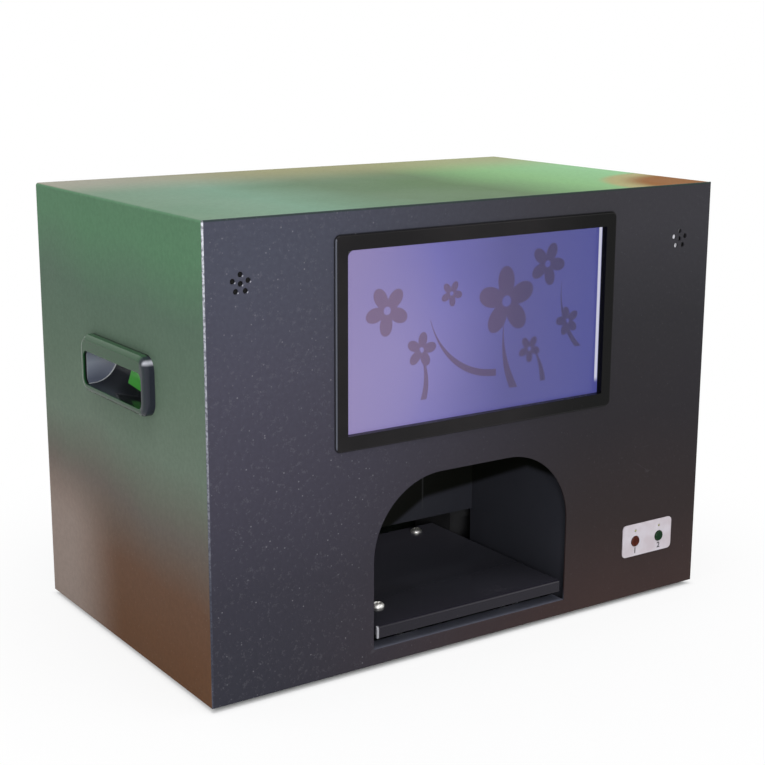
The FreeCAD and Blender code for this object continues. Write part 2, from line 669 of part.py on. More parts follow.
def front_panel():
    """Front plate with folded returns behind it, a folded sill and studs for the button board."""
    plate = box(-X_OUT, X_OUT, Y_FRONT, Y_PANEL, Z_BASE, Z_TOP)
    plate = plate.makeFillet(EDGE_R, front_edges(plate))
    outer = X_IN - FIT
    returns_y1 = Y_PANEL + RETURN_DEPTH
    frame = box(-outer, outer, Y_PANEL, returns_y1, Z_FLOOR, Z_CEILING - FIT)
    hollow = box(-outer + SHEET, outer - SHEET, Y_PANEL - OVER, returns_y1 + OVER,
                 Z_FLOOR + SHEET, Z_CEILING - FIT - SHEET)
    opening_x = OPENING_WIDTH / 2 + COLLAR_WALL + FIT
    opening_z = OPENING_HEIGHT / 2 + COLLAR_WALL + FIT
    cuts = [
        aperture(Y_FRONT - OVER, returns_y1 + OVER),
        plate_xz(SCREEN_X - opening_x, SCREEN_X + opening_x, SCREEN_Z - opening_z, SCREEN_Z + opening_z,
                 COLLAR_WALL + FIT, Y_FRONT - OVER, Y_PANEL + OVER),
    ]
    cuts += speaker_holes(SPEAKER_XS[0]) + speaker_holes(SPEAKER_XS[1])
    cuts += button_holes(Y_FRONT, SHEET)
    body = join(plate, frame.cut(hollow)).cut(Part.makeCompound(cuts))
    sill_face = outline(
        V(0, Y_FRONT, SILL_Z - SHEET),
        V(0, Y_FRONT, SILL_Z - EDGE_R),
        corner(V(0, Y_FRONT + EDGE_R, SILL_Z - EDGE_R), EDGE_R, V(0, -1, 0), AXIS_Z),
        V(0, Y_FRONT + SILL_DEPTH, SILL_Z),
        V(0, Y_FRONT + SILL_DEPTH, SILL_Z - SHEET))
    sill = sill_face.extrude(V(APERTURE_WIDTH, 0, 0))
    sill.translate(V(BAY_X - APERTURE_WIDTH / 2, 0, 0))
    stud_x, stud_z = LABEL_WIDTH / 2 - STUD_INSET[0], LABEL_HEIGHT / 2 - STUD_INSET[1]
    studs = [stud(STUD_R, V(BUTTONS_X + sx * stud_x, Y_PANEL, BUTTONS_Z + sz * stud_z), AXIS_Y,
                  BUTTON_BOARD_BACK) for sx in (-1, 1) for sz in (-1, 1)]
    return join(body, sill, *studs)


def wrap_cover():
    """Top and both sides in one folded sheet, with flanges round the rear."""
    shell = hood(X_OUT, 0, Z_TOP, SHEET, BEND_R, Z_BASE, Y_PANEL, Y_BACK)
    flange = hood(X_OUT, 0, Z_TOP, SHEET + FLANGE, BEND_R, Z_BASE, Y_FLANGE, Y_BACK)
    half = POCKET_WIDTH / 2 + POCKET_WALL + FIT
    cuts = [box(x0, x1, HANDLE_Y - half, HANDLE_Y + half, HANDLE_Z - POCKET_FLOOR - POCKET_WALL - FIT,
                HANDLE_Z + POCKET_TOP + POCKET_WALL + FIT)
            for x0, x1 in ((-X_OUT - OVER, -X_IN + OVER), (X_IN - OVER, X_OUT + OVER))]
    cuts += case_screw_holes()
    return join(shell, flange).cut(Part.makeCompound(cuts))


def case_screw_holes():
    """Clearance holes through the flanges and the rear panel."""
    return [hole(SCREW_R + FIT, V(x, Y_REAR, z), AXIS_Y, 2 * SHEET) for x, z in CASE_SCREWS]


def foot_places():
    """Middles of the four feet."""
    return [(sx * (X_OUT - FOOT_INSET_X), sy * (Y_BACK - FOOT_INSET_Y)) for sx in (-1, 1) for sy in (-1, 1)]


def base_pan():
    """Folded floor of the box, with vent slots under the electronics and a lip behind the rear panel."""
    floor = box(-X_IN, X_IN, Y_PANEL, Y_FLANGE, Z_BASE, Z_FLOOR)
    lip_x = X_IN - FLANGE - FIT
    tongue = box(-lip_x, lip_x, Y_FLANGE, Y_BACK, Z_BASE, Z_FLOOR + FLANGE)
    sides = [box(x0, x1, Y_PANEL + RETURN_DEPTH + FIT, Y_REAR - FIT, Z_FLOOR, Z_FLOOR + FLANGE)
             for x0, x1 in ((-X_IN, -X_IN + SHEET), (X_IN - SHEET, X_IN))]
    cuts = [hole(FOOT_STEM_R + FIT, V(x, y, Z_BASE), AXIS_Z, SHEET) for x, y in foot_places()]
    for side in (-1, 1):
        for i in range(VENT_COUNT // 2):
            x = side * (PLATE_X + SIDE_SPACE / 2)
            y = (i - (VENT_COUNT // 2 - 1) / 2) * VENT_PITCH
            cuts.append(box(x - VENT_HEIGHT / 2, x + VENT_HEIGHT / 2, y - VENT_WIDTH / 2, y + VENT_WIDTH / 2,
                            Z_BASE - OVER, Z_FLOOR + OVER))
    cuts += case_screw_holes()
    return join(floor, tongue, *sides).cut(Part.makeCompound(cuts))


def rear_panel():
    """Flat rear panel inside the flanges, with the cut-outs for its fittings."""
    plate = box(-X_IN + FIT, X_IN - FIT, Y_REAR, Y_FLANGE, Z_FLOOR, Z_CEILING - FIT)
    y0, y1 = Y_REAR - OVER, Y_FLANGE + OVER
    cuts = case_screw_holes()
    cuts.append(hole(FAN_BORE_R, V(FAN_X, Y_REAR, FAN_Z), AXIS_Y, SHEET, LARGE_SIDES))
    for (x, z, size) in ((INLET_X, INLET_Z, INLET_BODY), (INLET_X, ROCKER_Z, ROCKER_BODY)):
        cuts.append(box(x - size[0] / 2 - FIT, x + size[0] / 2 + FIT, y0, y1,
                        z - size[1] / 2 - FIT, z + size[1] / 2 + FIT))
    for x, size in [(x, USB_SIZE) for x in USB_XS] + [(LAN_X, LAN_SIZE)]:
        cuts.append(box(x - size[0] / 2 - FIT, x + size[0] / 2 + FIT, y0, y1,
                        PORT_Z - FIT, PORT_Z + size[1] + FIT))
    for i in range(VENT_COUNT):
        x = VENT_X + (i - (VENT_COUNT - 1) / 2) * VENT_PITCH
        cuts.append(box(x - VENT_WIDTH / 2, x + VENT_WIDTH / 2, y0, y1,
                        VENT_Z - VENT_HEIGHT / 2, VENT_Z + VENT_HEIGHT / 2))
    return plate.cut(Part.makeCompound(cuts))


def rubber_feet():
    """Tapered feet, each with a stem pressed through the base and a head that holds it."""
    head_z = FOOT_HEIGHT + SHEET
    feet = []
    for x, y in foot_places():
        place = V(x, y, 0)
        body = faceted([(FOOT_R - FOOT_TAPER, 0), (FOOT_R, FOOT_HEIGHT)], ROUND_SIDES, place, AXIS_Z)
        stem = stud(FOOT_STEM_R, place + AXIS_Z * FOOT_HEIGHT, AXIS_Z, SHEET)
        head_levels = [(FOOT_HEAD_R, head_z), (FOOT_TIP_R, head_z + FOOT_HEAD_H)]
        head = faceted(head_levels, SMALL_SIDES, place, AXIS_Z)
        feet.append(join(body, stem, head))
    return feet


def case_screws():
    """Pan-head screws round the rear."""
    return [pan_screw(V(x, Y_BACK, z), AXIS_Y, SCREW_HEAD_R, SCREW_HEAD_H, SCREW_R, SCREW_LENGTH)
            for x, z in CASE_SCREWS]


# ---- pull handles

def pocket_profile(grow):
    """Section of the handle's pocket across the left side wall, grown by the wall for its outside."""
    face_x = -X_OUT - HANDLE_PROUD
    back_x = face_x + POCKET_DEPTH + grow
    floor_z = HANDLE_Z - POCKET_FLOOR - grow
    roof_z = HANDLE_Z + POCKET_TOP + grow
    mouth_x = face_x + GRIP_THICK
    bowl_r, roof_r = POCKET_BOWL_R + grow, POCKET_ROOF_R + grow
    bowl = V(back_x - bowl_r, 0, floor_z + bowl_r)
    roof = V(back_x - roof_r, 0, roof_z - roof_r)
    right, up, down = V(1, 0, 0), V(0, 0, 1), V(0, 0, -1)
    return outline(
        V(mouth_x, 0, floor_z),
        bowl + down * bowl_r, corner(bowl, bowl_r, down, right),
        roof + right * roof_r, corner(roof, roof_r, right, up),
        V(mouth_x, 0, roof_z))


def handle_left():
    """Moulded flush pull: a rounded flange, a grip bar, and a pocket with a bowl floor behind it."""
    face_x = -X_OUT - HANDLE_PROUD
    half, tall = HANDLE_WIDTH / 2, HANDLE_HEIGHT / 2
    levels = rounded_edge(HANDLE_EDGE_R, 0) + [(0, HANDLE_PROUD)]
    flange = moulded_plate(-half, half, HANDLE_Z - tall, HANDLE_Z + tall, HANDLE_R, levels)
    mouth = moulded_plate(-POCKET_WIDTH / 2, POCKET_WIDTH / 2, HANDLE_Z - POCKET_FLOOR, HANDLE_Z + MOUTH_TOP,
                          MOUTH_R, [(0, -OVER), (0, GRIP_THICK + OVER)])
    for shape in (flange, mouth):
        shape.rotate(V(0, 0, 0), AXIS_Z, -90)
        shape.translate(V(face_x, HANDLE_Y, 0))
    outside = pocket_profile(POCKET_WALL).extrude(V(0, POCKET_WIDTH + 2 * POCKET_WALL, 0))
    outside.translate(V(0, HANDLE_Y - POCKET_WIDTH / 2 - POCKET_WALL, 0))
    inside = pocket_profile(0).extrude(V(0, POCKET_WIDTH, 0))
    inside.translate(V(0, HANDLE_Y - POCKET_WIDTH / 2, 0))
    return join(flange, outside).cut(inside).cut(mouth)


# ---- screen and speakers

def screen_bezel():
    """Moulded frame with a collar through the front plate."""
    half, tall = BEZEL_WIDTH / 2, BEZEL_HEIGHT / 2
    open_x, open_z = OPENING_WIDTH / 2, OPENING_HEIGHT / 2
    rim = moulded_plate(SCREEN_X - half, SCREEN_X + half, SCREEN_Z - tall, SCREEN_Z + tall, BEZEL_R,
                        rounded_edge(BEZEL_EDGE_R, Y_FRONT - BEZEL_PROUD) + [(0, Y_FRONT)])
    collar = plate_xz(SCREEN_X - open_x - COLLAR_WALL, SCREEN_X + open_x + COLLAR_WALL,
                      SCREEN_Z - open_z - COLLAR_WALL, SCREEN_Z + open_z + COLLAR_WALL, COLLAR_WALL,
                      Y_FRONT, Y_GLASS)
    opening = box(SCREEN_X - open_x, SCREEN_X + open_x, Y_FRONT - BEZEL_PROUD - OVER, Y_GLASS + OVER,
                  SCREEN_Z - open_z, SCREEN_Z + open_z)
    return join(rim, collar).cut(opening)


def touch_glass():
    """Glass behind the bezel's collar."""
    return plate_xz(SCREEN_X - GLASS_WIDTH / 2, SCREEN_X + GLASS_WIDTH / 2, SCREEN_Z - GLASS_HEIGHT / 2,
                    SCREEN_Z + GLASS_HEIGHT / 2, GLASS_R, Y_GLASS, Y_GLASS + GLASS_THICK)


def lcd_panel():
    """Screen module against the back of the glass."""
    y0 = Y_GLASS + GLASS_THICK
    half, tall = GLASS_WIDTH / 2 - PANEL_INSET[0], GLASS_HEIGHT / 2 - PANEL_INSET[1]
    return box(SCREEN_X - half, SCREEN_X + half, y0, y0 + PANEL_THICK, SCREEN_Z - tall, SCREEN_Z + tall)


def lcd_brackets():
    """Folded brackets that hold the screen module to the front plate."""
    y_back = Y_GLASS + GLASS_THICK + PANEL_THICK
    inner = GLASS_WIDTH / 2 + FIT
    foot_end = inner + SHEET + BRACKET_FOOT
    brackets = []
    for side in (-1, 1):
        for rise in (-GLASS_HEIGHT / 4, GLASS_HEIGHT / 4):
            z = SCREEN_Z + rise - BRACKET_WIDTH / 2
            face = outline(
                V(inner, Y_PANEL, z), V(foot_end, Y_PANEL, z), V(foot_end, Y_PANEL + SHEET, z),
                V(inner + SHEET, Y_PANEL + SHEET, z), V(inner + SHEET, y_back + SHEET, z),
                V(inner - BRACKET_REACH, y_back + SHEET, z), V(inner - BRACKET_REACH, y_back, z),
                V(inner, y_back, z))
            bracket = face.extrude(V(0, 0, BRACKET_WIDTH))
            if side < 0:
                bracket = bracket.mirror(V(0, 0, 0), AXIS_X)
            bracket.translate(V(SCREEN_X, 0, 0))
            brackets.append(bracket)
    return brackets


def speaker(x):
    """Round loudspeaker with its open cone against the front plate and its magnet behind."""
    place = V(x, Y_PANEL, SPEAKER_Z)
    magnet_end = BASKET_DEPTH + MAGNET_LENGTH
    levels = [(SPEAKER_R, 0), (SPEAKER_R, SPEAKER_RIM), (MAGNET_R, BASKET_DEPTH), (MAGNET_R, magnet_end)]
    cone = faceted([(SPEAKER_R - SPEAKER_RIM, 0), (CONE_R, CONE_DEPTH)], HEAD_SIDES, place, AXIS_Y)
    return faceted(levels, HEAD_SIDES, place, AXIS_Y).cut(cone)


# ---- buttons

def button_plate():
    """Thin label plate with holes for the buttons and lamps."""
    plate = plate_xz(BUTTONS_X - LABEL_WIDTH / 2, BUTTONS_X + LABEL_WIDTH / 2, BUTTONS_Z - LABEL_HEIGHT / 2,
                     BUTTONS_Z + LABEL_HEIGHT / 2, LABEL_R, Y_FRONT - LABEL_THICK, Y_FRONT)
    return plate.cut(Part.makeCompound(button_holes(Y_FRONT - LABEL_THICK, LABEL_THICK)))


def button_cap(x):
    """Cap with a bevelled face, a flange behind the front plate and a stem into its switch."""
    start = V(x, Y_FRONT - BUTTON_PROUD, BUTTON_Z)
    flange_y = Y_PANEL + FIT - start.y
    flange_end = flange_y + CAP_FLANGE
    stem_end = Y_BUTTON_BOARD - SWITCH_HEIGHT + STEM_ENGAGE - start.y
    levels = [(BUTTON_R - CAP_BEVEL, 0), (BUTTON_R, CAP_BEVEL), (BUTTON_R, flange_y)]
    cap = faceted(levels, ROUND_SIDES, start, AXIS_Y)
    flange = stud(BUTTON_R + CAP_FLANGE, start + AXIS_Y * flange_y, AXIS_Y, CAP_FLANGE, ROUND_SIDES)
    stem = stud(STEM_R, start + AXIS_Y * flange_end, AXIS_Y, stem_end - flange_end)
    return join(cap, flange, stem)


def button_switches():
    """Push switches on the button board, each with a bore for its cap's stem."""
    y0 = Y_BUTTON_BOARD - SWITCH_HEIGHT
    half = SWITCH_SIZE / 2
    switches = []
    for x in BUTTON_XS:
        body = box(x - half, x + half, y0, Y_BUTTON_BOARD, BUTTON_Z - half, BUTTON_Z + half)
        socket = stud(STEM_R + FIT, V(x, y0 - OVER, BUTTON_Z), AXIS_Y, SWITCH_BORE + OVER)
        switches.append(body.cut(socket))
    return switches


def button_board():
    """Small circuit board on the front plate's studs."""
    return box(BUTTONS_X - LABEL_WIDTH / 2, BUTTONS_X + LABEL_WIDTH / 2, Y_BUTTON_BOARD,
               Y_BUTTON_BOARD + BOARD_THICK, BUTTONS_Z - LABEL_HEIGHT / 2, BUTTONS_Z + LABEL_HEIGHT / 2)


def indicator_leds():
    """Round-nosed lamps that stand on the board and look out through the label plate."""
    nose = Y_FRONT - LABEL_THICK - LAMP_PROUD
    levels = [(LAMP_R * LAMP_TIP, 0), (LAMP_R, LAMP_R / 2), (LAMP_R, Y_BUTTON_BOARD - nose)]
    return [faceted(levels, HEAD_SIDES, V(x, nose, LAMP_Z), AXIS_Y) for x in BUTTON_XS]


# ---- hand bay

def hand_bay_liner():
    """Smooth moulded hood round the hand, with feet on the base and a back that stops above the fingers."""
    hood_shell = hood(LINER_HALF + LINER_WALL, BAY_X, LINER_CEILING + LINER_WALL, LINER_WALL, LINER_R,
                      Z_FLOOR, Y_PANEL + FIT, APRON_Y + LINER_WALL)
    apron_half = LINER_HALF + LINER_WALL / 2
    apron = box(BAY_X - apron_half, BAY_X + apron_half, APRON_Y, APRON_Y + LINER_WALL, TRAY_Z + APRON_HEIGHT,
                LINER_CEILING)
    y0 = Y_PANEL + RETURN_DEPTH + FIT
    feet = [box(x0, x1, y0, APRON_Y, Z_FLOOR, Z_FLOOR + LINER_WALL)
            for x0, x1 in ((BAY_X - LINER_HALF - LINER_FOOT, BAY_X - LINER_HALF),
                           (BAY_X + LINER_HALF, BAY_X + LINER_HALF + LINER_FOOT))]
    foot_slot = box(-X_OUT, X_OUT, Y_PANEL, y0, 0, Z_FLOOR + SHEET + FIT)
    lens_hole = hole(LENS_R + BARREL_WALL + FIT, V(BAY_X, CAMERA_Y, LINER_CEILING), AXIS_Z, LINER_WALL,
                     HEAD_SIDES)
    return join(hood_shell, apron, *feet).cut(foot_slot).cut(lens_hole)


def camera_module():
    """Camera on its square board, with the barrel through the liner's ceiling."""
    half, body_half = CAMERA_SIZE / 2, CAMERA_BODY / 2
    z0 = LINER_CEILING + LINER_WALL
    board_top = z0 + BOARD_THICK
    board = box(BAY_X - half, BAY_X + half, CAMERA_Y - half, CAMERA_Y + half, z0, board_top)
    body = box(BAY_X - body_half, BAY_X + body_half, CAMERA_Y - body_half, CAMERA_Y + body_half, board_top,
               z0 + CAMERA_HEIGHT)
    barrel_z = LINER_CEILING - BARREL_PROUD
    barrel = stud(LENS_R + BARREL_WALL, V(BAY_X, CAMERA_Y, barrel_z), AXIS_Z, board_top - barrel_z,
                  HEAD_SIDES)
    seat = stud(LENS_R, V(BAY_X, CAMERA_Y, barrel_z - OVER), AXIS_Z, BARREL_PROUD + OVER, HEAD_SIDES)
    return join(board, body, barrel).cut(seat)


def camera_lens():
    """Bulging lens seated in the barrel."""
    levels = [(LENS_R * share, -BARREL_PROUD * drop) for share, drop in LENS_CURVE]
    return faceted(levels, HEAD_SIDES, V(BAY_X, CAMERA_Y, LINER_CEILING), AXIS_Z)


# ---- hand tray and its drive

def hand_tray():
    """Folded tray: a flat top, a front lip bent down and shallow folds along the sides."""
    y0, y1 = TRAY_Y0, TRAY_Y0 + TRAY_LENGTH
    x0, x1 = BAY_X - TRAY_HALF, BAY_X + TRAY_HALF
    lip_z = TRAY_Z - LIP_DEPTH
    inner_r = TRAY_BEND_R - TRAY_SHEET
    front, up = V(0, -1, 0), V(0, 0, 1)
    outer = V(x0, y0 + TRAY_BEND_R, TRAY_Z - TRAY_BEND_R)
    inner = V(x0, y0 + TRAY_SHEET + inner_r, TRAY_UNDER - inner_r)
    face = outline(
        V(x0, y0, lip_z),
        outer + front * TRAY_BEND_R, corner(outer, TRAY_BEND_R, front, up),
        V(x0, y1, TRAY_Z), V(x0, y1, TRAY_UNDER),
        inner + up * inner_r, corner(inner, inner_r, up, front),
        V(x0, y0 + TRAY_SHEET, lip_z))
    top = face.extrude(V(x1 - x0, 0, 0))
    folds = [box(a, a + TRAY_SHEET, y0 + TRAY_BEND_R, y1, TRAY_Z - TRAY_SIDE_FOLD, TRAY_UNDER)
             for a in (x0, x1 - TRAY_SHEET)]
    holes = [hole(TRAY_SCREW_R + FIT / 2, V(x, y, TRAY_UNDER), AXIS_Z, TRAY_SHEET)
             for x, y in TRAY_SCREW_PLACES]
    return join(top, *folds).cut(Part.makeCompound(holes))


def tray_screws():
    """Pan-head screws that hold the tray to its carrier."""
    length = TRAY_SHEET + STANDOFF_HEIGHT + CARRIER_THICK
    return [pan_screw(V(x, y, TRAY_Z), AXIS_Z, TRAY_SCREW_HEAD_R, TRAY_SCREW_HEAD_H, TRAY_SCREW_R, length)
            for x, y in TRAY_SCREW_PLACES]


def tray_carrier():
    """Plate on the bearing blocks, with standoffs up to the tray."""
    z0, z1 = CARRIER_Z, CARRIER_Z + CARRIER_THICK
    plate = box(BAY_X + SCREW_LEFT - CARRIER_MARGIN, BAY_X + SCREW_RIGHT + CARRIER_MARGIN,
                SCREW_YS[0] - CARRIER_MARGIN, CARRIER_Y1, z0, z1)
    standoffs = [stud(STANDOFF_R, V(x, y, z1), AXIS_Z, STANDOFF_HEIGHT, HEAD_SIDES)
                 for x, y in TRAY_SCREW_PLACES]
    holes = [hole(TRAY_SCREW_R, V(x, y, z0), AXIS_Z, TRAY_UNDER - z0, SHANK_SIDES)
             for x, y in TRAY_SCREW_PLACES]
    return join(plate, *standoffs).cut(Part.makeCompound(holes))


def tray_bearing_blocks():
    """Four bored blocks under the carrier that run on the rods."""
    blocks = []
    for x in ROD_XS:
        for offset in (BLOCK_FROM_REAR, BLOCK_FROM_REAR + BLOCK_PITCH):
            y0 = CARRIER_Y1 - offset - BLOCK_LENGTH / 2
            body = box(x - BLOCK_WIDTH / 2, x + BLOCK_WIDTH / 2, y0, y0 + BLOCK_LENGTH,
                       ROD_Z - BLOCK_BOTTOM, CARRIER_Z)
            blocks.append(body.cut(hole(ROD_R + FIT, V(x, y0, ROD_Z), AXIS_Y, BLOCK_LENGTH, HEAD_SIDES)))
    return blocks


def tray_rods():
    """Two round rods along the depth of the box."""
    return [stud(ROD_R, V(x, ROD_Y0, ROD_Z), AXIS_Y, ROD_LENGTH, HEAD_SIDES) for x in ROD_XS]


def rod_supports():
    """Blocks on the base that hold both ends of each rod."""
    supports = []
    for x in ROD_XS:
        for y0 in (ROD_Y0, ROD_Y0 + ROD_LENGTH - SUPPORT_LENGTH):
            body = box(x - BLOCK_WIDTH / 2, x + BLOCK_WIDTH / 2, y0, y0 + SUPPORT_LENGTH, Z_FLOOR,
                       ROD_Z + SUPPORT_TOP)
            seat = hole(ROD_R + SEAT_FIT, V(x, y0, ROD_Z), AXIS_Y, SUPPORT_LENGTH, HEAD_SIDES)
            supports.append(body.cut(seat))
    return supports


def belt_loop(pitch_r, length, width):
    """Closed belt round two pulleys in the XZ plane: pulley axes at x = 0 and x = length, along +Y."""
    a, b = V(0, 0, 0), V(length, 0, 0)
    up, right = V(0, 0, 1), V(1, 0, 0)

    def track(r):
        """Racetrack at a distance from both axes."""
        turns = [2 * math.pi * i / ROUND_SIDES for i in range(ROUND_SIDES // 2 + 1)]
        spokes = [up * (r * math.cos(t)) + right * (r * math.sin(t)) for t in turns]
        points = [b + spoke for spoke in spokes] + [a - spoke for spoke in spokes]
        return Part.Face(Part.makePolygon(points + [points[0]]))

    outer = track(pitch_r + BELT_OUT).extrude(V(0, width, 0))
    inner = track(pitch_r - BELT_IN).extrude(V(0, width, 0))
    loop = outer.cut(inner)
    loop.translate(V(0, -width / 2, 0))
    return loop


def toothed_pulley(teeth, shaft_length):
    """Flanged belt pulley along +Y about the origin, grooved for the belt, with its shaft or its bore."""
    pitch_r = teeth * BELT_PITCH / (2 * math.pi)
    land_r = pitch_r - BELT_IN - FIT
    half = BELT_WIDTH / 2 + FIT
    corners = []
    for i in range(teeth):
        for share, depth in TOOTH_PROFILE:
            angle = 2 * math.pi * (i + share) / teeth
            r = land_r - depth
            corners.append(V(r * math.cos(angle), -half, r * math.sin(angle)))
    drum = Part.Face(Part.makePolygon(corners + [corners[0]])).extrude(V(0, 2 * half, 0))
    rim = PULLEY_FLANGE - FIT
    flanges = [stud(pitch_r + BELT_OUT + PULLEY_RIM, V(0, y, 0), AXIS_Y, rim, HEAD_SIDES)
               for y in (-half - rim, half)]
    body = join(drum, *flanges)
    if shaft_length:
        return join(body, stud(PULLEY_BORE_R, V(0, 0, 0), AXIS_Y, half + shaft_length))
    return body.cut(hole(PULLEY_BORE_R + FIT, V(0, -half - rim, 0), AXIS_Y, 2 * (half + rim)))


def turned_to_x(shape, y, z):
    """Moves a shape from the pulley frame to the tray drive, whose axes run along +X."""
    shape.rotate(V(0, 0, 0), AXIS_Z, -90)
    shape.translate(V(BAY_X, y, z))
    return shape


def tray_belt():
    """Toothed belt loop of the tray drive."""
    loop = belt_loop(TRAY_PITCH_R, TRAY_PULLEY_Y - IDLER_Y, BELT_WIDTH)
    return turned_to_x(loop, TRAY_PULLEY_Y, TRAY_BELT_Z)


def tray_drive_pulley():
    """Pulley and shaft of the tray motor."""
    pulley = toothed_pulley(TRAY_TEETH, PULLEY_FLANGE + MOTOR_GAP + SHAFT_REACH)
    return turned_to_x(pulley, TRAY_PULLEY_Y, TRAY_BELT_Z)


def tray_idler_pulley():
    """Free pulley on the idler bracket's pin."""
    return turned_to_x(toothed_pulley(TRAY_TEETH, 0), IDLER_Y, TRAY_BELT_Z)


def belt_idler_bracket():
    """Fork on the base with the idler's pin."""
    inner = BELT_WIDTH / 2 + PULLEY_FLANGE + FIT
    outer = inner + FORK_CHEEK
    foot_top = Z_FLOOR + FORK_FOOT_THICK
    cheeks = [box(BAY_X + a, BAY_X + b, IDLER_Y - FORK_LENGTH / 2, IDLER_Y + FORK_LENGTH / 2, foot_top,
                  TRAY_BELT_Z + FORK_TOP)
              for a, b in ((-outer, -inner), (inner, outer))]
    foot = box(BAY_X - outer - FORK_FLANGE, BAY_X + outer + FORK_FLANGE, IDLER_Y - FORK_FOOT_LENGTH / 2,
               IDLER_Y + FORK_FOOT_LENGTH / 2, Z_FLOOR, foot_top)
    pin = stud(PULLEY_BORE_R, V(BAY_X - outer, IDLER_Y, TRAY_BELT_Z), AXIS_X, 2 * outer)
    return join(foot, pin, *cheeks)


def stepper_motor(size, length):
    """Square motor along +Y with its front face at the origin, a raised pilot and a bore for the shaft."""
    half = size / 2
    body = box(-half, half, 0, length, -half, half)
    edges = [e for e in body.Edges if abs(e.Vertexes[0].Point.y - e.Vertexes[-1].Point.y) > SAME]
    body = body.makeChamfer(size * MOTOR_TRIM, edges)
    band_y0, band_y1 = length * MOTOR_BAND[0], length * MOTOR_BAND[1]
    around = box(-half - OVER, half + OVER, band_y0, band_y1, -half - OVER, half + OVER)
    inner = half - MOTOR_STEP
    core = stud(size * MOTOR_CORE_R, V(0, band_y0, 0), AXIS_Y, band_y1 - band_y0, HEAD_SIDES)
    band = around.cut(box(-inner, inner, 0, length, -inner, inner)).cut(core)
    pilot = stud(size * MOTOR_PILOT_R, V(0, -PILOT_HEIGHT, 0), AXIS_Y, PILOT_HEIGHT, HEAD_SIDES)
    mouth_y = -PILOT_HEIGHT - OVER
    shaft_bore = stud(PULLEY_BORE_R + FIT, V(0, mouth_y, 0), AXIS_Y, MOTOR_BORE - mouth_y)
    return join(body.cut(band), pilot).cut(shaft_bore)


def tray_motor():
    """Motor of the tray drive, standing on the base beside the belt."""
    motor = stepper_motor(TRAY_MOTOR_SIZE, TRAY_MOTOR_LENGTH)
    motor = turned_to_x(motor, TRAY_PULLEY_Y, TRAY_BELT_Z)
    motor.translate(V(BELT_WIDTH / 2 + PULLEY_FLANGE + MOTOR_GAP, 0, 0))
    return motor


def belt_clamp():
    """Two jaws under the carrier, above and below the upper run of the tray belt."""
    x0, x1 = BAY_X - BELT_WIDTH / 2, BAY_X + BELT_WIDTH / 2
    y0 = CARRIER_Y1 - CLAMP_FROM_REAR - CLAMP_LENGTH / 2
    y1 = y0 + CLAMP_LENGTH
    over_run = TRAY_BELT_Z + TRAY_PITCH_R + BELT_OUT + FIT
    under_run = TRAY_BELT_Z + TRAY_PITCH_R - BELT_IN - FIT
    upper = box(x0 - FIT - CLAMP_WEB, x1 + FIT, y0, y1, over_run, CARRIER_Z)
    web = box(x1 + FIT, x1 + FIT + CLAMP_WEB, y0, y1, under_run - CLAMP_JAW, CARRIER_Z)
    lower = box(x0, x1 + FIT, y0, y1, under_run - CLAMP_JAW, under_run)
    return join(upper, web, lower)


# ---- print mechanism

def mechanism_frame():
    """Two side plates and a rear rail, with feet on the base, seats for the shelf and the idler's pin."""
    parts = []
    y0 = CARRIAGE_Y0 - FRAME_FRONT
    for side in (-1, 1):
        profile = outline(
            V(PLATE_X, y0, Z_FLOOR), V(PLATE_X, RAIL_Y, Z_FLOOR), V(PLATE_X, RAIL_Y, SHELF_Z),
            V(PLATE_X, y0 + FRAME_BEVEL, SHELF_Z), V(PLATE_X, y0, SHELF_Z - FRAME_BEVEL))
        plate = profile.extrude(V(SHEET, 0, 0))
        foot = box(PLATE_X, PLATE_X + FRAME_FOOT, y0, RAIL_Y, Z_FLOOR, Z_FLOOR + SHEET)
        seat = box(PLATE_X, PLATE_X + FRAME_FOOT, y0 + FRAME_BEVEL, RAIL_Y, SHELF_Z - SHEET, SHELF_Z)
        for piece in (plate, foot, seat):
            parts.append(piece if side > 0 else piece.mirror(V(0, 0, 0), AXIS_X))
    rail_z = SHAFT_Z + RAIL_TOP
    rail = box(-PLATE_X, PLATE_X, RAIL_Y - SHEET, RAIL_Y, SHAFT_Z - RAIL_BOTTOM, rail_z)
    lip = box(-PLATE_X, PLATE_X, RAIL_Y - RAIL_LIP, RAIL_Y - SHEET, rail_z - SHEET, rail_z)
    pin = stud(PULLEY_BORE_R, V(PULLEY_X, CARRIAGE_BELT_Y - BELT_WIDTH, CARRIAGE_BELT_Z), AXIS_Y,
               BELT_FROM_RAIL + BELT_WIDTH)
    studs = [stud(STUD_R, V(PLATE_X + SHEET, y, z), AXIS_X, BOARD_STANDOFF)
             for y, z in control_board_corners()]
    shaft_hole = stud(SHAFT_R + SEAT_FIT, V(-X_OUT, SHAFT_Y, SHAFT_Z), AXIS_X, WIDTH, HEAD_SIDES)
    pilot_r = CARRIAGE_MOTOR_SIZE * MOTOR_PILOT_R
    motor_hole = hole(pilot_r + FIT, V(-PULLEY_X, RAIL_Y - SHEET, CARRIAGE_BELT_Z), AXIS_Y, SHEET,
                      HEAD_SIDES)
    return join(*parts, rail, lip, pin, *studs).cut(shaft_hole).cut(motor_hole)


def carriage_shaft():
    """Ground shaft that the carriage slides on."""
    reach = PLATE_X + SHEET + SHAFT_PROUD
    return stud(SHAFT_R, V(-reach, SHAFT_Y, SHAFT_Z), AXIS_X, 2 * reach, HEAD_SIDES)


def cartridge_bays():
    """Left edge and width of each cartridge bay in the parked carriage."""
    x0 = PARK_X - CARRIAGE_WIDTH / 2
    width = (CARRIAGE_WIDTH - (CARTRIDGES + 1) * CARRIAGE_WALL) / CARTRIDGES
    return [(x0 + CARRIAGE_WALL + i * (width + CARRIAGE_WALL), width) for i in range(CARTRIDGES)]


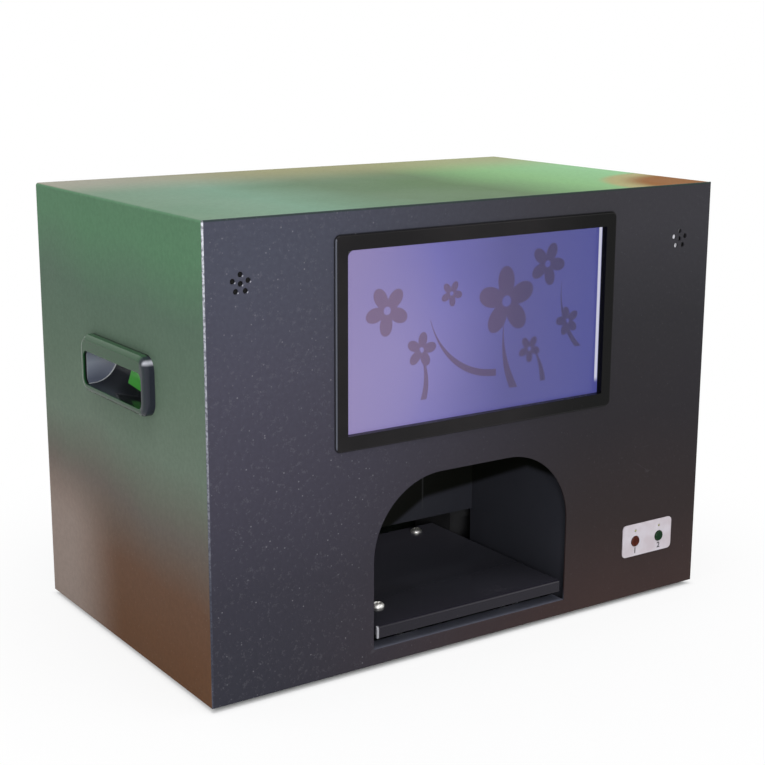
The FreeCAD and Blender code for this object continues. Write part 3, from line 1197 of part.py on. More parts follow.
def print_carriage():
    """Moulded tub with a bay for each cartridge, a bored hub, a belt clamp and a guide finger on the rail."""
    half = CARRIAGE_WIDTH / 2
    tub = box(PARK_X - half, PARK_X + half, CARRIAGE_Y0, CARRIAGE_Y1, CARRIAGE_Z, CARRIAGE_TOP)
    bays = [box(x, x + width, CARRIAGE_Y0 + CARRIAGE_WALL, CARRIAGE_Y1 - CARRIAGE_WALL,
                CARRIAGE_Z + CARRIAGE_WALL, CARRIAGE_TOP + OVER) for x, width in cartridge_bays()]
    hub = box(PARK_X - HUB_WIDTH / 2, PARK_X + HUB_WIDTH / 2, CARRIAGE_Y1, CARRIAGE_Y1 + HUB_SIZE,
              SHAFT_Z - HUB_SIZE / 2, SHAFT_Z + HUB_SIZE / 2)
    shaft_bore = stud(SHAFT_R + FIT, V(PARK_X - half, SHAFT_Y, SHAFT_Z), AXIS_X, CARRIAGE_WIDTH, HEAD_SIDES)
    over_run = CARRIAGE_BELT_Z - CARRIAGE_PITCH_R + BELT_IN + FIT
    under_run = CARRIAGE_BELT_Z - CARRIAGE_PITCH_R - BELT_OUT - FIT
    belt_y0 = CARRIAGE_BELT_Y - BELT_WIDTH / 2 - FIT
    belt_y1 = CARRIAGE_BELT_Y + BELT_WIDTH / 2
    x0, x1 = PARK_X - CLAMP_LENGTH / 2, PARK_X + CLAMP_LENGTH / 2
    web = box(x0, x1, belt_y0 - ARM_THICK, belt_y0, SHAFT_Z, over_run + CLAMP_JAW)
    neck = box(x0, x1, SHAFT_Y + SHAFT_R + NECK_GAP, belt_y0, SHAFT_Z - NECK_HEIGHT / 2,
               SHAFT_Z + NECK_HEIGHT / 2)
    jaws = [box(x0, x1, belt_y0, belt_y1, z0, z0 + CLAMP_JAW) for z0 in (under_run - CLAMP_JAW, over_run)]
    finger_z = SHAFT_Z + RAIL_TOP + FIT
    finger_top = finger_z + ARM_THICK
    post = box(x0, x1, CARRIAGE_Y1 - CARRIAGE_WALL, CARRIAGE_Y1 + POST_THICK, CARRIAGE_TOP - POST_LAP,
               CARRIAGE_TOP)
    post_top = box(x0, x1, CARRIAGE_Y1, CARRIAGE_Y1 + POST_THICK, CARRIAGE_TOP, finger_top)
    finger = box(x0, x1, CARRIAGE_Y1, RAIL_Y + FINGER_LAP, finger_z, finger_top)
    body = join(tub, hub, neck, web, post, post_top, finger, *jaws)
    return body.cut(Part.makeCompound(bays + [shaft_bore]))


def print_head():
    """Print head under the carriage, with a raised nozzle plate."""
    y = (CARRIAGE_Y0 + CARRIAGE_Y1) / 2
    half, deep = HEAD_WIDTH / 2, HEAD_DEPTH / 2
    nozzle_half, nozzle_deep = half - NOZZLE_INSET, deep - NOZZLE_INSET
    block = box(PARK_X - half, PARK_X + half, y - deep, y + deep, HEAD_Z + NOZZLE_STEP, CARRIAGE_Z)
    nozzles = box(PARK_X - nozzle_half, PARK_X + nozzle_half, y - nozzle_deep, y + nozzle_deep, HEAD_Z,
                  HEAD_Z + NOZZLE_STEP)
    return join(block, nozzles)


def ink_cartridges():
    """Ink cartridges in their bays, each with a stepped grip on top."""
    cartridges = []
    y0, y1 = CARRIAGE_Y0 + CARRIAGE_WALL + FIT, CARRIAGE_Y1 - CARRIAGE_WALL - FIT
    top = CARRIAGE_TOP - CARTRIDGE_DROP
    grip_y0 = y0 + TAB_INSET[1]
    for x, width in cartridge_bays():
        x0, x1 = x + FIT, x + width - FIT
        body = box(x0, x1, y0, y1, CARRIAGE_Z + CARRIAGE_WALL, top)
        tab = box(x0 + TAB_INSET[0], x1 - TAB_INSET[0], grip_y0, grip_y0 + TAB_LENGTH, top, top + TAB_HEIGHT)
        cartridges.append(join(body, tab))
    return cartridges


def capping_station():
    """Column under the parked print head, with a lipped cap that closes the nozzles."""
    y = (CARRIAGE_Y0 + CARRIAGE_Y1) / 2
    x0, x1 = BAY_X + TRAY_HALF + CAP_INSET, PARK_X + HEAD_WIDTH / 2
    y0, y1 = y - HEAD_DEPTH / 2, y + HEAD_DEPTH / 2
    top = HEAD_Z - CAP_GAP
    body = box(x0, x1, y0, y1, Z_FLOOR, top)
    well = box(x0 + CAP_LIP, x1 - CAP_LIP, y0 + CAP_LIP, y1 - CAP_LIP, top - CAP_WELL, top + OVER)
    notch = box(x0 + CAP_NOTCH, x1 + OVER, y0 - OVER, y0 + CAP_NOTCH, Z_FLOOR + CAP_NOTCH, top - CAP_NOTCH)
    return body.cut(well).cut(notch)


def carriage_belt():
    """Toothed belt loop of the carriage drive."""
    loop = belt_loop(CARRIAGE_PITCH_R, 2 * PULLEY_X, BELT_WIDTH)
    loop.translate(V(-PULLEY_X, CARRIAGE_BELT_Y, CARRIAGE_BELT_Z))
    return loop


def carriage_drive_pulley():
    """Pulley and shaft of the carriage motor."""
    pulley = toothed_pulley(CARRIAGE_TEETH, BELT_FROM_RAIL - BELT_WIDTH / 2 + SHAFT_REACH)
    pulley.translate(V(-PULLEY_X, CARRIAGE_BELT_Y, CARRIAGE_BELT_Z))
    return pulley


def carriage_idler_pulley():
    """Free pulley on the rail's pin."""
    pulley = toothed_pulley(CARRIAGE_TEETH, 0)
    pulley.translate(V(PULLEY_X, CARRIAGE_BELT_Y, CARRIAGE_BELT_Z))
    return pulley


def carriage_motor():
    """Motor of the carriage drive, bolted behind the rail."""
    motor = stepper_motor(CARRIAGE_MOTOR_SIZE, CARRIAGE_MOTOR_LENGTH)
    motor.translate(V(-PULLEY_X, RAIL_Y, CARRIAGE_BELT_Z))
    return motor


def encoder_strip():
    """Thin strip between the side plates that the carriage reads its place from."""
    z = SHAFT_Z + STRIP_RISE
    y = CARRIAGE_Y1 + STRIP_GAP
    return box(-PLATE_X, PLATE_X, y, y + STRIP_THICK, z - STRIP_HEIGHT / 2, z + STRIP_HEIGHT / 2)


def waste_ink_pad():
    """Felt pad on the base, under the left end of the carriage's travel."""
    return box(-PLATE_X + PAD_GAP, BAY_X - LINER_HALF - LINER_FOOT, CARRIAGE_Y0, CARRIAGE_Y0 + PAD_LENGTH,
               Z_FLOOR, Z_FLOOR + PAD_HEIGHT)


def control_board_corners():
    """Fixing points of the printer's control board on the right side plate, as (y, z)."""
    y0 = CARRIAGE_Y0 + CONTROL_INSET
    z0 = Z_FLOOR + CONTROL_RISE
    near = CONTROL_HOLE_INSET
    return [(y0 + y, z0 + z) for y in (near, CONTROL_LENGTH - near) for z in (near, CONTROL_HEIGHT - near)]


# ---- electronics

def electronics_shelf():
    """Folded shelf on the print mechanism, with a front lip and standoffs for the main board."""
    y0 = SHELF_Y1 - SHELF_DEPTH
    floor = box(-SHELF_HALF, SHELF_HALF, y0, SHELF_Y1, SHELF_Z, SHELF_TOP)
    lip = box(-SHELF_HALF, SHELF_HALF, y0, y0 + SHEET, SHELF_TOP, SHELF_TOP + SHELF_LIP)
    reach = BOARD_SIZE / 2 - BOARD_HOLE_INSET
    board_y = BOARD_Y1 - BOARD_SIZE / 2
    places = [V(BOARD_X + sx * reach, board_y + sy * reach, SHELF_TOP) for sx in (-1, 1) for sy in (-1, 1)]
    return join(floor, lip, *[stud(STUD_R, place, AXIS_Z, BOARD_STANDOFF) for place in places])


def mainboard():
    """Main board with its memory slots, power stages and a header."""
    x0 = BOARD_X - BOARD_SIZE / 2
    y0 = BOARD_Y1 - BOARD_SIZE
    top = PORT_Z
    board = box(x0, x0 + BOARD_SIZE, y0, BOARD_Y1, BOARD_Z, top)
    pieces = []
    slot_y0 = y0 + SLOT_Y
    slot_y1 = slot_y0 + SLOT_SIZE[1]
    slot_top = top + SLOT_SIZE[2]
    for i in range(SLOT_COUNT):
        x = x0 + SLOT_X + i * SLOT_PITCH
        middle = x + SLOT_SIZE[0] / 2
        pieces.append(box(x, x + SLOT_SIZE[0], slot_y0, slot_y1, top, slot_top))
        pieces.append(box(middle - STICK_THICK / 2, middle + STICK_THICK / 2, slot_y0 + STICK_INSET,
                          slot_y1 - STICK_INSET, slot_top, slot_top + STICK_HEIGHT))
    stage_y0 = y0 + BOARD_HOLE_INSET
    for i in range(STAGE_COUNT):
        x = x0 + STAGE_PITCH * (i + 1)
        pieces.append(box(x - STAGE_SIZE / 2, x + STAGE_SIZE / 2, stage_y0, stage_y0 + STAGE_SIZE, top,
                          top + STAGE_HEIGHT))
    header_x = x0 + STAGE_SIZE
    header_y = y0 + HEADER_Y
    pieces.append(box(header_x, header_x + HEADER_SIZE[0], header_y, header_y + HEADER_SIZE[1], top,
                      top + HEADER_SIZE[2]))
    return join(board, *pieces)


def heat_sink():
    """Finned block on the processor."""
    x0 = BOARD_X - BOARD_SIZE / 2 + SINK_X
    y0 = BOARD_Y1 - BOARD_SIZE + SINK_Y
    plate_top = PORT_Z + SINK_PLATE
    plate = box(x0, x0 + SINK_SIZE, y0, y0 + SINK_SIZE, PORT_Z, plate_top)
    pitch = (SINK_SIZE - SINK_FIN) / (SINK_FINS - 1)
    fins = []
    for i in range(SINK_FINS):
        fin_x = x0 + i * pitch
        fins.append(box(fin_x, fin_x + SINK_FIN, y0, y0 + SINK_SIZE, plate_top, PORT_Z + SINK_HEIGHT))
    return join(plate, *fins)


def socket_shell(x, size, opening, rises):
    """Metal socket on the rear edge of the main board, with its openings at the given heights."""
    half = size[0] / 2
    y1 = Y_FLANGE + PORT_PROUD
    body = box(x - half, x + half, y1 - PORT_DEPTH, y1, PORT_Z, PORT_Z + size[1])
    cuts = [box(x - opening[0] / 2, x + opening[0] / 2, y1 - SOCKET_DEPTH, y1 + OVER,
                PORT_Z + rise, PORT_Z + rise + opening[1]) for rise in rises]
    return body.cut(Part.makeCompound(cuts))


def io_ports():
    """Two double USB sockets with their contact tongues, and a network socket."""
    y1 = Y_FLANGE + PORT_PROUD
    ports = []
    for x in USB_XS:
        shell = socket_shell(x, USB_SIZE, USB_OPENING, USB_RISES)
        tongues = []
        for rise in USB_RISES:
            z = PORT_Z + rise + TONGUE_RISE
            tongues.append(box(x - TONGUE_WIDTH / 2, x + TONGUE_WIDTH / 2, y1 - SOCKET_DEPTH,
                               y1 - TONGUE_SETBACK, z, z + TONGUE_THICK))
        ports.append(join(shell, *tongues))
    ports.append(socket_shell(LAN_X, LAN_SIZE, LAN_OPENING, LAN_RISES))
    return ports


def power_supply():
    """Enclosed power supply on the shelf, with louvres in its top."""
    x0 = -SHELF_HALF + SUPPLY_GAP
    x1 = x0 + SUPPLY_WIDTH
    y0 = SHELF_Y1 - SHELF_LIP - SUPPLY_LENGTH
    top = SHELF_TOP + SUPPLY_HEIGHT
    can = box(x0, x1, y0, y0 + SUPPLY_LENGTH, SHELF_TOP, top)
    louvre_x0, louvre_x1 = x0 + LOUVRE_INSET, x1 - LOUVRE_INSET
    louvres = []
    for i in range(LOUVRE_COUNT):
        y = y0 + LOUVRE_START + i * LOUVRE_PITCH
        louvres.append(box(louvre_x0, louvre_x1, y, y + LOUVRE_WIDTH, top - LOUVRE_DEPTH, top + OVER))
    return can.cut(Part.makeCompound(louvres))


def control_board():
    """Printer control board on the right side plate's studs, with its plugs and drivers."""
    corners = control_board_corners()
    y0, y1 = corners[0][0] - CONTROL_HOLE_INSET, corners[-1][0] + CONTROL_HOLE_INSET
    z0, z1 = corners[0][1] - CONTROL_HOLE_INSET, corners[-1][1] + CONTROL_HOLE_INSET
    x0 = PLATE_X + SHEET + BOARD_STANDOFF
    x1 = x0 + BOARD_THICK
    board = box(x0, x1, y0, y1, z0, z1)
    pieces = []
    for i in (-1, 0, 1):
        plug_y = (y0 + y1) / 2 + i * PLUG_PITCH
        pieces.append(box(x1, x1 + PLUG_SIZE[0], plug_y - PLUG_SIZE[1] / 2, plug_y + PLUG_SIZE[1] / 2,
                          z1 - 2 * PLUG_SIZE[2], z1 - PLUG_SIZE[2]))
        chip_y = (y0 + y1) / 2 + i * CHIP_PITCH
        pieces.append(box(x1, x1 + CHIP_SIZE[0], chip_y - CHIP_SIZE[1] / 2, chip_y + CHIP_SIZE[1] / 2,
                          z0 + CHIP_SIZE[2], z0 + 2 * CHIP_SIZE[2]))
    return join(board, *pieces)


# ---- rear fittings

def fan_frame():
    """Square fan frame against the rear panel, with a hub on three struts at its inner side."""
    half = FAN_SIZE / 2
    y0 = Y_REAR - FAN_DEPTH
    body = plate_xz(FAN_X - half, FAN_X + half, FAN_Z - half, FAN_Z + half, FAN_CORNER_R, y0, Y_REAR)
    body = body.cut(hole(FAN_BORE_R, V(FAN_X, y0, FAN_Z), AXIS_Y, FAN_DEPTH, LARGE_SIDES))
    hub = stud(FAN_HUB_R, V(FAN_X, y0, FAN_Z), AXIS_Y, STRUT_THICK, ROUND_SIDES)
    struts = []
    for i in range(STRUT_COUNT):
        strut = box(FAN_X - STRUT_WIDTH / 2, FAN_X + STRUT_WIDTH / 2, y0, y0 + STRUT_THICK,
                    FAN_Z + FAN_HUB_R - OVER, FAN_Z + FAN_BORE_R + OVER)
        strut.rotate(V(FAN_X, 0, FAN_Z), AXIS_Y, 360 / STRUT_COUNT * i)
        struts.append(strut)
    return join(body, hub, *struts).cut(hole(PULLEY_BORE_R + FIT, V(FAN_X, y0, FAN_Z), AXIS_Y, STRUT_THICK))


def fan_rotor():
    """Hub with pitched blades, and a shaft into the frame's hub."""
    y0 = Y_REAR - FAN_DEPTH + STRUT_THICK + FIT
    length = Y_REAR - ROTOR_SETBACK - y0
    middle = V(FAN_X, y0, FAN_Z)
    hub = stud(FAN_HUB_R, middle, AXIS_Y, length, ROUND_SIDES)
    shaft = stud(PULLEY_BORE_R, V(FAN_X, y0 - STRUT_THICK, FAN_Z), AXIS_Y, STRUT_THICK + FIT)
    swept = stud(FAN_BORE_R - BLADE_GAP, middle, AXIS_Y, length, LARGE_SIDES)
    blades = []
    for i in range(FAN_BLADES):
        blade = box(FAN_X - BLADE_CHORD / 2, FAN_X + BLADE_CHORD / 2, -BLADE_THICK / 2, BLADE_THICK / 2,
                    FAN_Z + FAN_HUB_R - BLADE_ROOT, FAN_Z + FAN_BORE_R)
        blade.rotate(V(FAN_X, 0, FAN_Z), AXIS_Z, BLADE_PITCH)
        blade.translate(V(0, y0 + length / 2, 0))
        blade.rotate(V(FAN_X, 0, FAN_Z), AXIS_Y, 360 / FAN_BLADES * i)
        blades.append(blade.common(swept))
    return join(hub, shaft, *blades)


def fan_guard():
    """Guard over the fan opening: three rings on two crossed bars that end in eyes on the fan's screws."""
    wire = 2 * GUARD_WIRE_R
    centre = V(FAN_X, Y_FLANGE, FAN_Z)
    reach = (FAN_SIZE / 2 - FAN_HOLE_INSET) * math.sqrt(2)
    pieces = []
    for i in range(GUARD_RINGS):
        r = (FAN_BORE_R - GUARD_WIRE_R) * (i + 1) / GUARD_RINGS
        sides = ROUND_SIDES if i == GUARD_RINGS - 1 else HEAD_SIDES
        inside = hole(r - GUARD_WIRE_R, centre, AXIS_Y, wire, sides)
        pieces.append(stud(r + GUARD_WIRE_R, centre, AXIS_Y, wire, sides).cut(inside))
    for angle in (45, 135):
        bar = box(FAN_X - reach, FAN_X + reach, Y_FLANGE, Y_FLANGE + wire, FAN_Z - GUARD_WIRE_R,
                  FAN_Z + GUARD_WIRE_R)
        bar.rotate(centre, AXIS_Y, angle)
        pieces.append(bar)
        direction = V(math.cos(math.radians(angle)), 0, math.sin(math.radians(angle)))
        pieces += [stud(GUARD_EYE_R, centre + direction * end, AXIS_Y, wire) for end in (-reach, reach)]
    return join(*pieces)


def power_inlet():
    """Mains appliance inlet: a flange with two ears, a shrouded socket and three flat pins."""
    w, h, t = INLET_FLANGE
    y1 = Y_FLANGE + t
    flange = plate_xz(INLET_X - w / 2, INLET_X + w / 2, INLET_Z - h / 2, INLET_Z + h / 2, INLET_CORNER_R,
                      Y_FLANGE, y1)
    body = box(INLET_X - INLET_BODY[0] / 2, INLET_X + INLET_BODY[0] / 2, Y_FLANGE - INLET_DEPTH, Y_FLANGE,
               INLET_Z - INLET_BODY[1] / 2, INLET_Z + INLET_BODY[1] / 2)
    y0 = y1 - INLET_SOCKET_DEPTH
    x0, x1 = INLET_X - INLET_SOCKET[0] / 2, INLET_X + INLET_SOCKET[0] / 2
    z0, z1 = INLET_Z - INLET_SOCKET[1] / 2, INLET_Z + INLET_SOCKET[1] / 2
    socket_face = outline(
        V(x0, y0, z0), V(x1, y0, z0), V(x1, y0, z1 - INLET_TRIM),
        V(x1 - INLET_TRIM, y0, z1), V(x0 + INLET_TRIM, y0, z1), V(x0, y0, z1 - INLET_TRIM))
    socket = socket_face.extrude(V(0, INLET_SOCKET_DEPTH + OVER, 0))
    pins = []
    for dx, dz in PIN_PLACES:
        x, z = INLET_X + dx, INLET_Z + dz
        pins.append(box(x - PIN_SIZE[0] / 2, x + PIN_SIZE[0] / 2, y0 - OVER, y1 - PIN_SETBACK,
                        z - PIN_SIZE[1] / 2, z + PIN_SIZE[1] / 2))
    return join(join(flange, body).cut(socket), *pins)


def switch_housing():
    """Snap-in housing of the mains rocker switch, with a pivot bore in each cheek."""
    w, h, t = ROCKER_BEZEL
    bezel = plate_xz(INLET_X - w / 2, INLET_X + w / 2, ROCKER_Z - h / 2, ROCKER_Z + h / 2, HOUSING_R,
                     Y_FLANGE, Y_FLANGE + t)
    y0 = Y_FLANGE - HOUSING_DEPTH
    body = box(INLET_X - ROCKER_BODY[0] / 2, INLET_X + ROCKER_BODY[0] / 2, y0, Y_FLANGE,
               ROCKER_Z - ROCKER_BODY[1] / 2, ROCKER_Z + ROCKER_BODY[1] / 2)
    half = ROCKER_WIDTH / 2 + FIT
    well = box(INLET_X - half, INLET_X + half, y0 + HOUSING_FLOOR, Y_FLANGE + t + OVER,
               ROCKER_Z - ROCKER_R - FIT, ROCKER_Z + ROCKER_R + FIT)
    reach = half + PIVOT_LENGTH
    pivot = stud(ROCKER_PIVOT_R + FIT, V(INLET_X - reach, ROCKER_Y, ROCKER_Z), AXIS_X, 2 * reach)
    return join(bezel, body).cut(well).cut(pivot)


def power_rocker():
    """Rocker with round ends about its pivot and a shallow V face, at rest with its upper end out."""
    x0 = INLET_X - ROCKER_WIDTH / 2
    x1 = x0 + ROCKER_WIDTH
    drum = stud(ROCKER_R, V(x0, ROCKER_Y, ROCKER_Z), AXIS_X, ROCKER_WIDTH, LARGE_SIDES)
    face_y = ROCKER_Y + ROCKER_PIVOT_DEPTH - FIT
    far = 2 * ROCKER_R
    cuts = []
    for side in (-1, 1):
        wedge = box(x0 - OVER, x1 + OVER, face_y, face_y + far, ROCKER_Z, ROCKER_Z + far)
        wedge.rotate(V(0, face_y, ROCKER_Z), AXIS_X, -ROCKER_VEE)
        if side < 0:
            wedge = wedge.mirror(V(0, 0, ROCKER_Z), AXIS_Z)
        cuts.append(wedge)
    cuts.append(box(x0 - OVER, x1 + OVER, ROCKER_Y - far, ROCKER_Y - ROCKER_BACK,
                    ROCKER_Z - far, ROCKER_Z + far))
    pins = stud(ROCKER_PIVOT_R, V(x0 - PIVOT_LENGTH, ROCKER_Y, ROCKER_Z), AXIS_X,
                ROCKER_WIDTH + 2 * PIVOT_LENGTH)
    rocker = join(drum.cut(Part.makeCompound(cuts)), pins)
    rocker.rotate(V(0, ROCKER_Y, ROCKER_Z), AXIS_X, -ROCKER_TILT)
    return rocker


# ---- every node

os.makedirs("parts", exist_ok=True)

left_handle = handle_left()
export("front_panel", front_panel())
export("wrap_cover", wrap_cover())
export("base_pan", base_pan())
export("rear_panel", rear_panel())
export("rubber_feet", *rubber_feet())
export("case_screws", *case_screws())
export("handle_left", left_handle)
export("handle_right", left_handle.mirror(V(0, 0, 0), AXIS_X))
export("screen_bezel", screen_bezel())
export("touch_glass", touch_glass())
export("lcd_panel", lcd_panel())
export("lcd_brackets", *lcd_brackets())
export("speaker_left", speaker(SPEAKER_XS[0]))
export("speaker_right", speaker(SPEAKER_XS[1]))
export("button_plate", button_plate())
export("button_left", button_cap(BUTTON_XS[0]))
export("button_right", button_cap(BUTTON_XS[1]))
export("button_switches", *button_switches())
export("button_board", button_board())
export("indicator_leds", *indicator_leds())
export("hand_bay_liner", hand_bay_liner())
export("camera_module", camera_module())
export("camera_lens", camera_lens())
export("hand_tray", hand_tray())
export("tray_screws", *tray_screws())
export("tray_carrier", tray_carrier())
export("tray_bearing_blocks", *tray_bearing_blocks())
export("belt_clamp", belt_clamp())
export("tray_rods", *tray_rods())
export("rod_supports", *rod_supports())
export("tray_belt", tray_belt())
export("tray_drive_pulley", tray_drive_pulley())
export("tray_idler_pulley", tray_idler_pulley())
export("belt_idler_bracket", belt_idler_bracket())
export("tray_motor", tray_motor())
export("mechanism_frame", mechanism_frame())
export("carriage_shaft", carriage_shaft())
export("print_carriage", print_carriage())
export("print_head", print_head())
export("ink_cartridges", *ink_cartridges())
export("capping_station", capping_station())
export("carriage_belt", carriage_belt())
export("carriage_drive_pulley", carriage_drive_pulley())
export("carriage_idler_pulley", carriage_idler_pulley())
export("carriage_motor", carriage_motor())
export("encoder_strip", encoder_strip())
export("waste_ink_pad", waste_ink_pad())
export("electronics_shelf", electronics_shelf())
export("mainboard", mainboard())
export("heat_sink", heat_sink())
export("io_ports", *io_ports())
export("power_supply", power_supply())
export("control_board", control_board())
export("fan_frame", fan_frame())
export("fan_rotor", fan_rotor())
export("fan_guard", fan_guard())
export("power_inlet", power_inlet())
export("switch_housing", switch_housing())
export("power_rocker", power_rocker())
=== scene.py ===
import math

import bmesh
import bpy
import numpy as np
from mathutils import Matrix, Vector


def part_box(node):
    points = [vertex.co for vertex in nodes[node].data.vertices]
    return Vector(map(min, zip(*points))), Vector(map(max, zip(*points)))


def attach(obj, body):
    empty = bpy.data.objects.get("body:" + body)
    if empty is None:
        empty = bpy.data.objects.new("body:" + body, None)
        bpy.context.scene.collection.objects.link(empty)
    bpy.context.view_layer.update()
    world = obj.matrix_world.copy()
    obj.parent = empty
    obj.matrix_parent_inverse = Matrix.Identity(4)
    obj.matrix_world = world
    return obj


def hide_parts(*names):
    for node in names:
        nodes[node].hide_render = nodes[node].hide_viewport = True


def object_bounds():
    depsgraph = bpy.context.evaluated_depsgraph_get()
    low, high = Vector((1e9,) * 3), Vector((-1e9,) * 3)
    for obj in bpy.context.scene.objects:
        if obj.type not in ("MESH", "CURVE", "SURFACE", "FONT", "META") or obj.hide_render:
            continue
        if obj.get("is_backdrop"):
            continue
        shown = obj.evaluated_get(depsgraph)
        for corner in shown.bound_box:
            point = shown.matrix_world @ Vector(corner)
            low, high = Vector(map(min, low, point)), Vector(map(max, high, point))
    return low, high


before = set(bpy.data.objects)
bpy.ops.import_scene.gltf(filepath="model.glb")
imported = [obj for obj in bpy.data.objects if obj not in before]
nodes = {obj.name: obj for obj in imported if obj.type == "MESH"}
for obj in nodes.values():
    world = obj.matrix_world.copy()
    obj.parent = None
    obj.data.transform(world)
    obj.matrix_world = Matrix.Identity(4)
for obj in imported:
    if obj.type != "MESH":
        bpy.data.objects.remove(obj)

cad_low, cad_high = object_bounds()


# ---- Painted case: front plate, wrap cover, base pan and rear panel.
# Folded steel sheet with a baked powder coat: satin black with fine pebbles, rubbed pale along the edges by which
# the box is lifted and slid, with a few short scuffs. Over it lie painted light and reflections: slate and brown on the
# front plate, green, sand and amber on the cover.

front_low, front_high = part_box("front_panel")
bezel_low, bezel_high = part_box("screen_bezel")
speaker_low, speaker_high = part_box("speaker_left")

PAINT_DRIFT = 0.05               # how far the slow cloud shifts the paint's colours, in metres
FOLD_HIGHLIGHT = (0.0014, 0.0008)     # from the left edge: where the painted highlight on the fold begins and is full
SILL_FACE = (0.0005, 0.0010)     # behind the front face, and height, where the painted light on the sill begins
SILL_LIGHT_TOP = (0.030, 0.020)        # height, where the sill's paler paint begins
TOP_SEAM = (0.0018, 0.0010)      # from the plate's top edge
BEZEL_CORNER = 0.005
BEZEL_SEAM_SHADOW = (0.0012, 0.0004)    # from the bezel's outline, where the painted shadow in its seam begins and is full
HOLE_RING = 0.007                # radius of the ring of five speaker holes round the sixth
HOLE_GLINT_OFF = (0.0017, -0.0011)     # from a hole's middle to its painted glint
HOLE_GLINT_SIZE = (0.0010, 0.0005)
LID_FACE = (0.0007, 0.0002)      # from the box's top, where the sides' colour turns to the lid's
LID_CORNER_SAND = (0.105, 0.090)     # distance from the lid's front right corner at which its painted reflection turns sandy, and then amber
LID_CORNER_AMBER = (0.088, 0.058)
COVER_LIP_SHADOW = (-0.1560, -0.1568)   # front edge of the cover, against the front plate, where a painted shadow lies in the seam
FOOT_LINE = (0.008, 0.016)       # heights between which rubbed paint gives way to whole paint downwards


def display(red, green, blue):
    """Linear colour of an 8-bit display colour."""
    share = np.array([red, green, blue]) / 255
    linear = np.where(share > 0.04045, ((share + 0.055) / 1.055) ** 2.4, share / 12.92)
    return (*linear.tolist(), 1.0)


def put(tree, kind, **sets):
    """Adds a shader node. Lower-case names are its properties, the others its inputs, _3 being input number 3."""
    node = tree.nodes.new("ShaderNode" + kind)
    for name, value in sets.items():
        if name[0].islower():
            setattr(node, name, value)
            continue
        socket = node.inputs[int(name[1:])] if name[0] == "_" else node.inputs[name.replace("_", " ")]
        if isinstance(value, bpy.types.NodeSocket):
            tree.links.new(value, socket)
        else:
            socket.default_value = value
    return node


def calc(tree, operation, first, *others):
    """Result of an operation on numbers or sockets, carried from left to right."""
    for other in others or (0.0,):
        first = put(tree, "Math", operation=operation, _0=first, _1=other).outputs[0]
    return first


def times(tree, *values):
    """Product of numbers or sockets."""
    return calc(tree, "MULTIPLY", *values)


def plus(tree, *values):
    """Sum of numbers or sockets."""
    return calc(tree, "ADD", *values)


def minus(tree, first, second):
    """One number or socket less another."""
    return calc(tree, "SUBTRACT", first, second)


def most(tree, *values):
    """Largest of some numbers or sockets."""
    return calc(tree, "MAXIMUM", *values)


def apart(tree, value, middle):
    """How far a value lies from a middle, either way."""
    return calc(tree, "ABSOLUTE", minus(tree, value, middle))


def vector(tree, operation, first, second=(0.0, 0.0, 0.0), output="Vector"):
    """Result of an operation on two vectors."""
    return put(tree, "VectorMath", operation=operation, _0=first, _1=second).outputs[output]


def axes(tree, place):
    """X, Y and Z of a place."""
    return put(tree, "SeparateXYZ", Vector=place).outputs


def noise(tree, place, scale, detail, **more):
    """Smooth noise over a place, mostly between 0.3 and 0.7."""
    return put(tree, "TexNoise", Vector=place, Scale=scale, Detail=detail, **more).outputs[0]


def tint(tree, share, first, second):
    """First colour turning to the second by a share. A triple is an 8-bit display colour."""
    first, second = (display(*one) if isinstance(one, tuple) and len(one) == 3 else one for one in (first, second))
    return put(tree, "Mix", data_type="RGBA", _0=share, _6=first, _7=second).outputs[2]


def spread(tree, value, low, high, to_low=0.0, to_high=1.0):
    """Smooth step of a value from one range to another."""
    return put(tree, "MapRange", interpolation_type="SMOOTHSTEP", Value=value, From_Min=low, From_Max=high,
               To_Min=to_low, To_Max=to_high).outputs[0]


def mottle(tree, blot, low, high):
    """A noise's usual span, 0.3 to 0.7, as a range of values."""
    return spread(tree, blot, 0.3, 0.7, low, high)


def ramp(tree, value, low, high, *colours):
    """Colours at equal steps while a value goes from one number to another."""
    node = put(tree, "ValToRGB", Fac=put(tree, "MapRange", Value=value, From_Min=low, From_Max=high).outputs[0])
    stops = node.color_ramp.elements
    for i, colour in enumerate(colours):
        position = i / (len(colours) - 1)
        stop = stops[i] if i < 2 else stops.new(position)
        stop.position, stop.color = position, display(*colour)
    return node.outputs[0]


def effect(name, outputs, **inputs):
    """Empty node group, as (group, what it is given, what it gives). Its outputs are numbers; an input is a number
    with this value if nothing else is said, or a vector where the value is None."""
    group = bpy.data.node_groups.new(name, "ShaderNodeTree")
    for socket, value in inputs.items():
        kind = "NodeSocketVector" if value is None else "NodeSocketFloat"
        made = group.interface.new_socket(name=socket, in_out="INPUT", socket_type=kind)
        if value is not None:
            made.default_value = value
    for socket in outputs:
        group.interface.new_socket(name=socket, in_out="OUTPUT", socket_type="NodeSocketFloat")
    return group, group.nodes.new("NodeGroupInput").outputs, group.nodes.new("NodeGroupOutput").inputs


def use(tree, group, place, **inputs):
    """What an effect gives at a place, used in a material with its own values."""
    node = tree.nodes.new("ShaderNodeGroup")
    node.node_tree = group
    for name, value in {"Place": place, **inputs}.items():
        if isinstance(value, bpy.types.NodeSocket):
            tree.links.new(value, node.inputs[name])
        else:
            node.inputs[name].default_value = value
    return node.outputs


def finish(name):
    """New material, as (material, tree, its Principled shader, the place on the object in metres)."""
    material = bpy.data.materials.new(name)
    material.use_nodes = True
    tree = material.node_tree
    place = tree.nodes.new("ShaderNodeTexCoord").outputs["Object"]
    return material, tree, tree.nodes["Principled BSDF"], place


def fix(shader, **values):
    """Sets plain values on a shader's own sockets."""
    for name, value in values.items():
        shader.inputs[name.replace("_", " ")].default_value = value


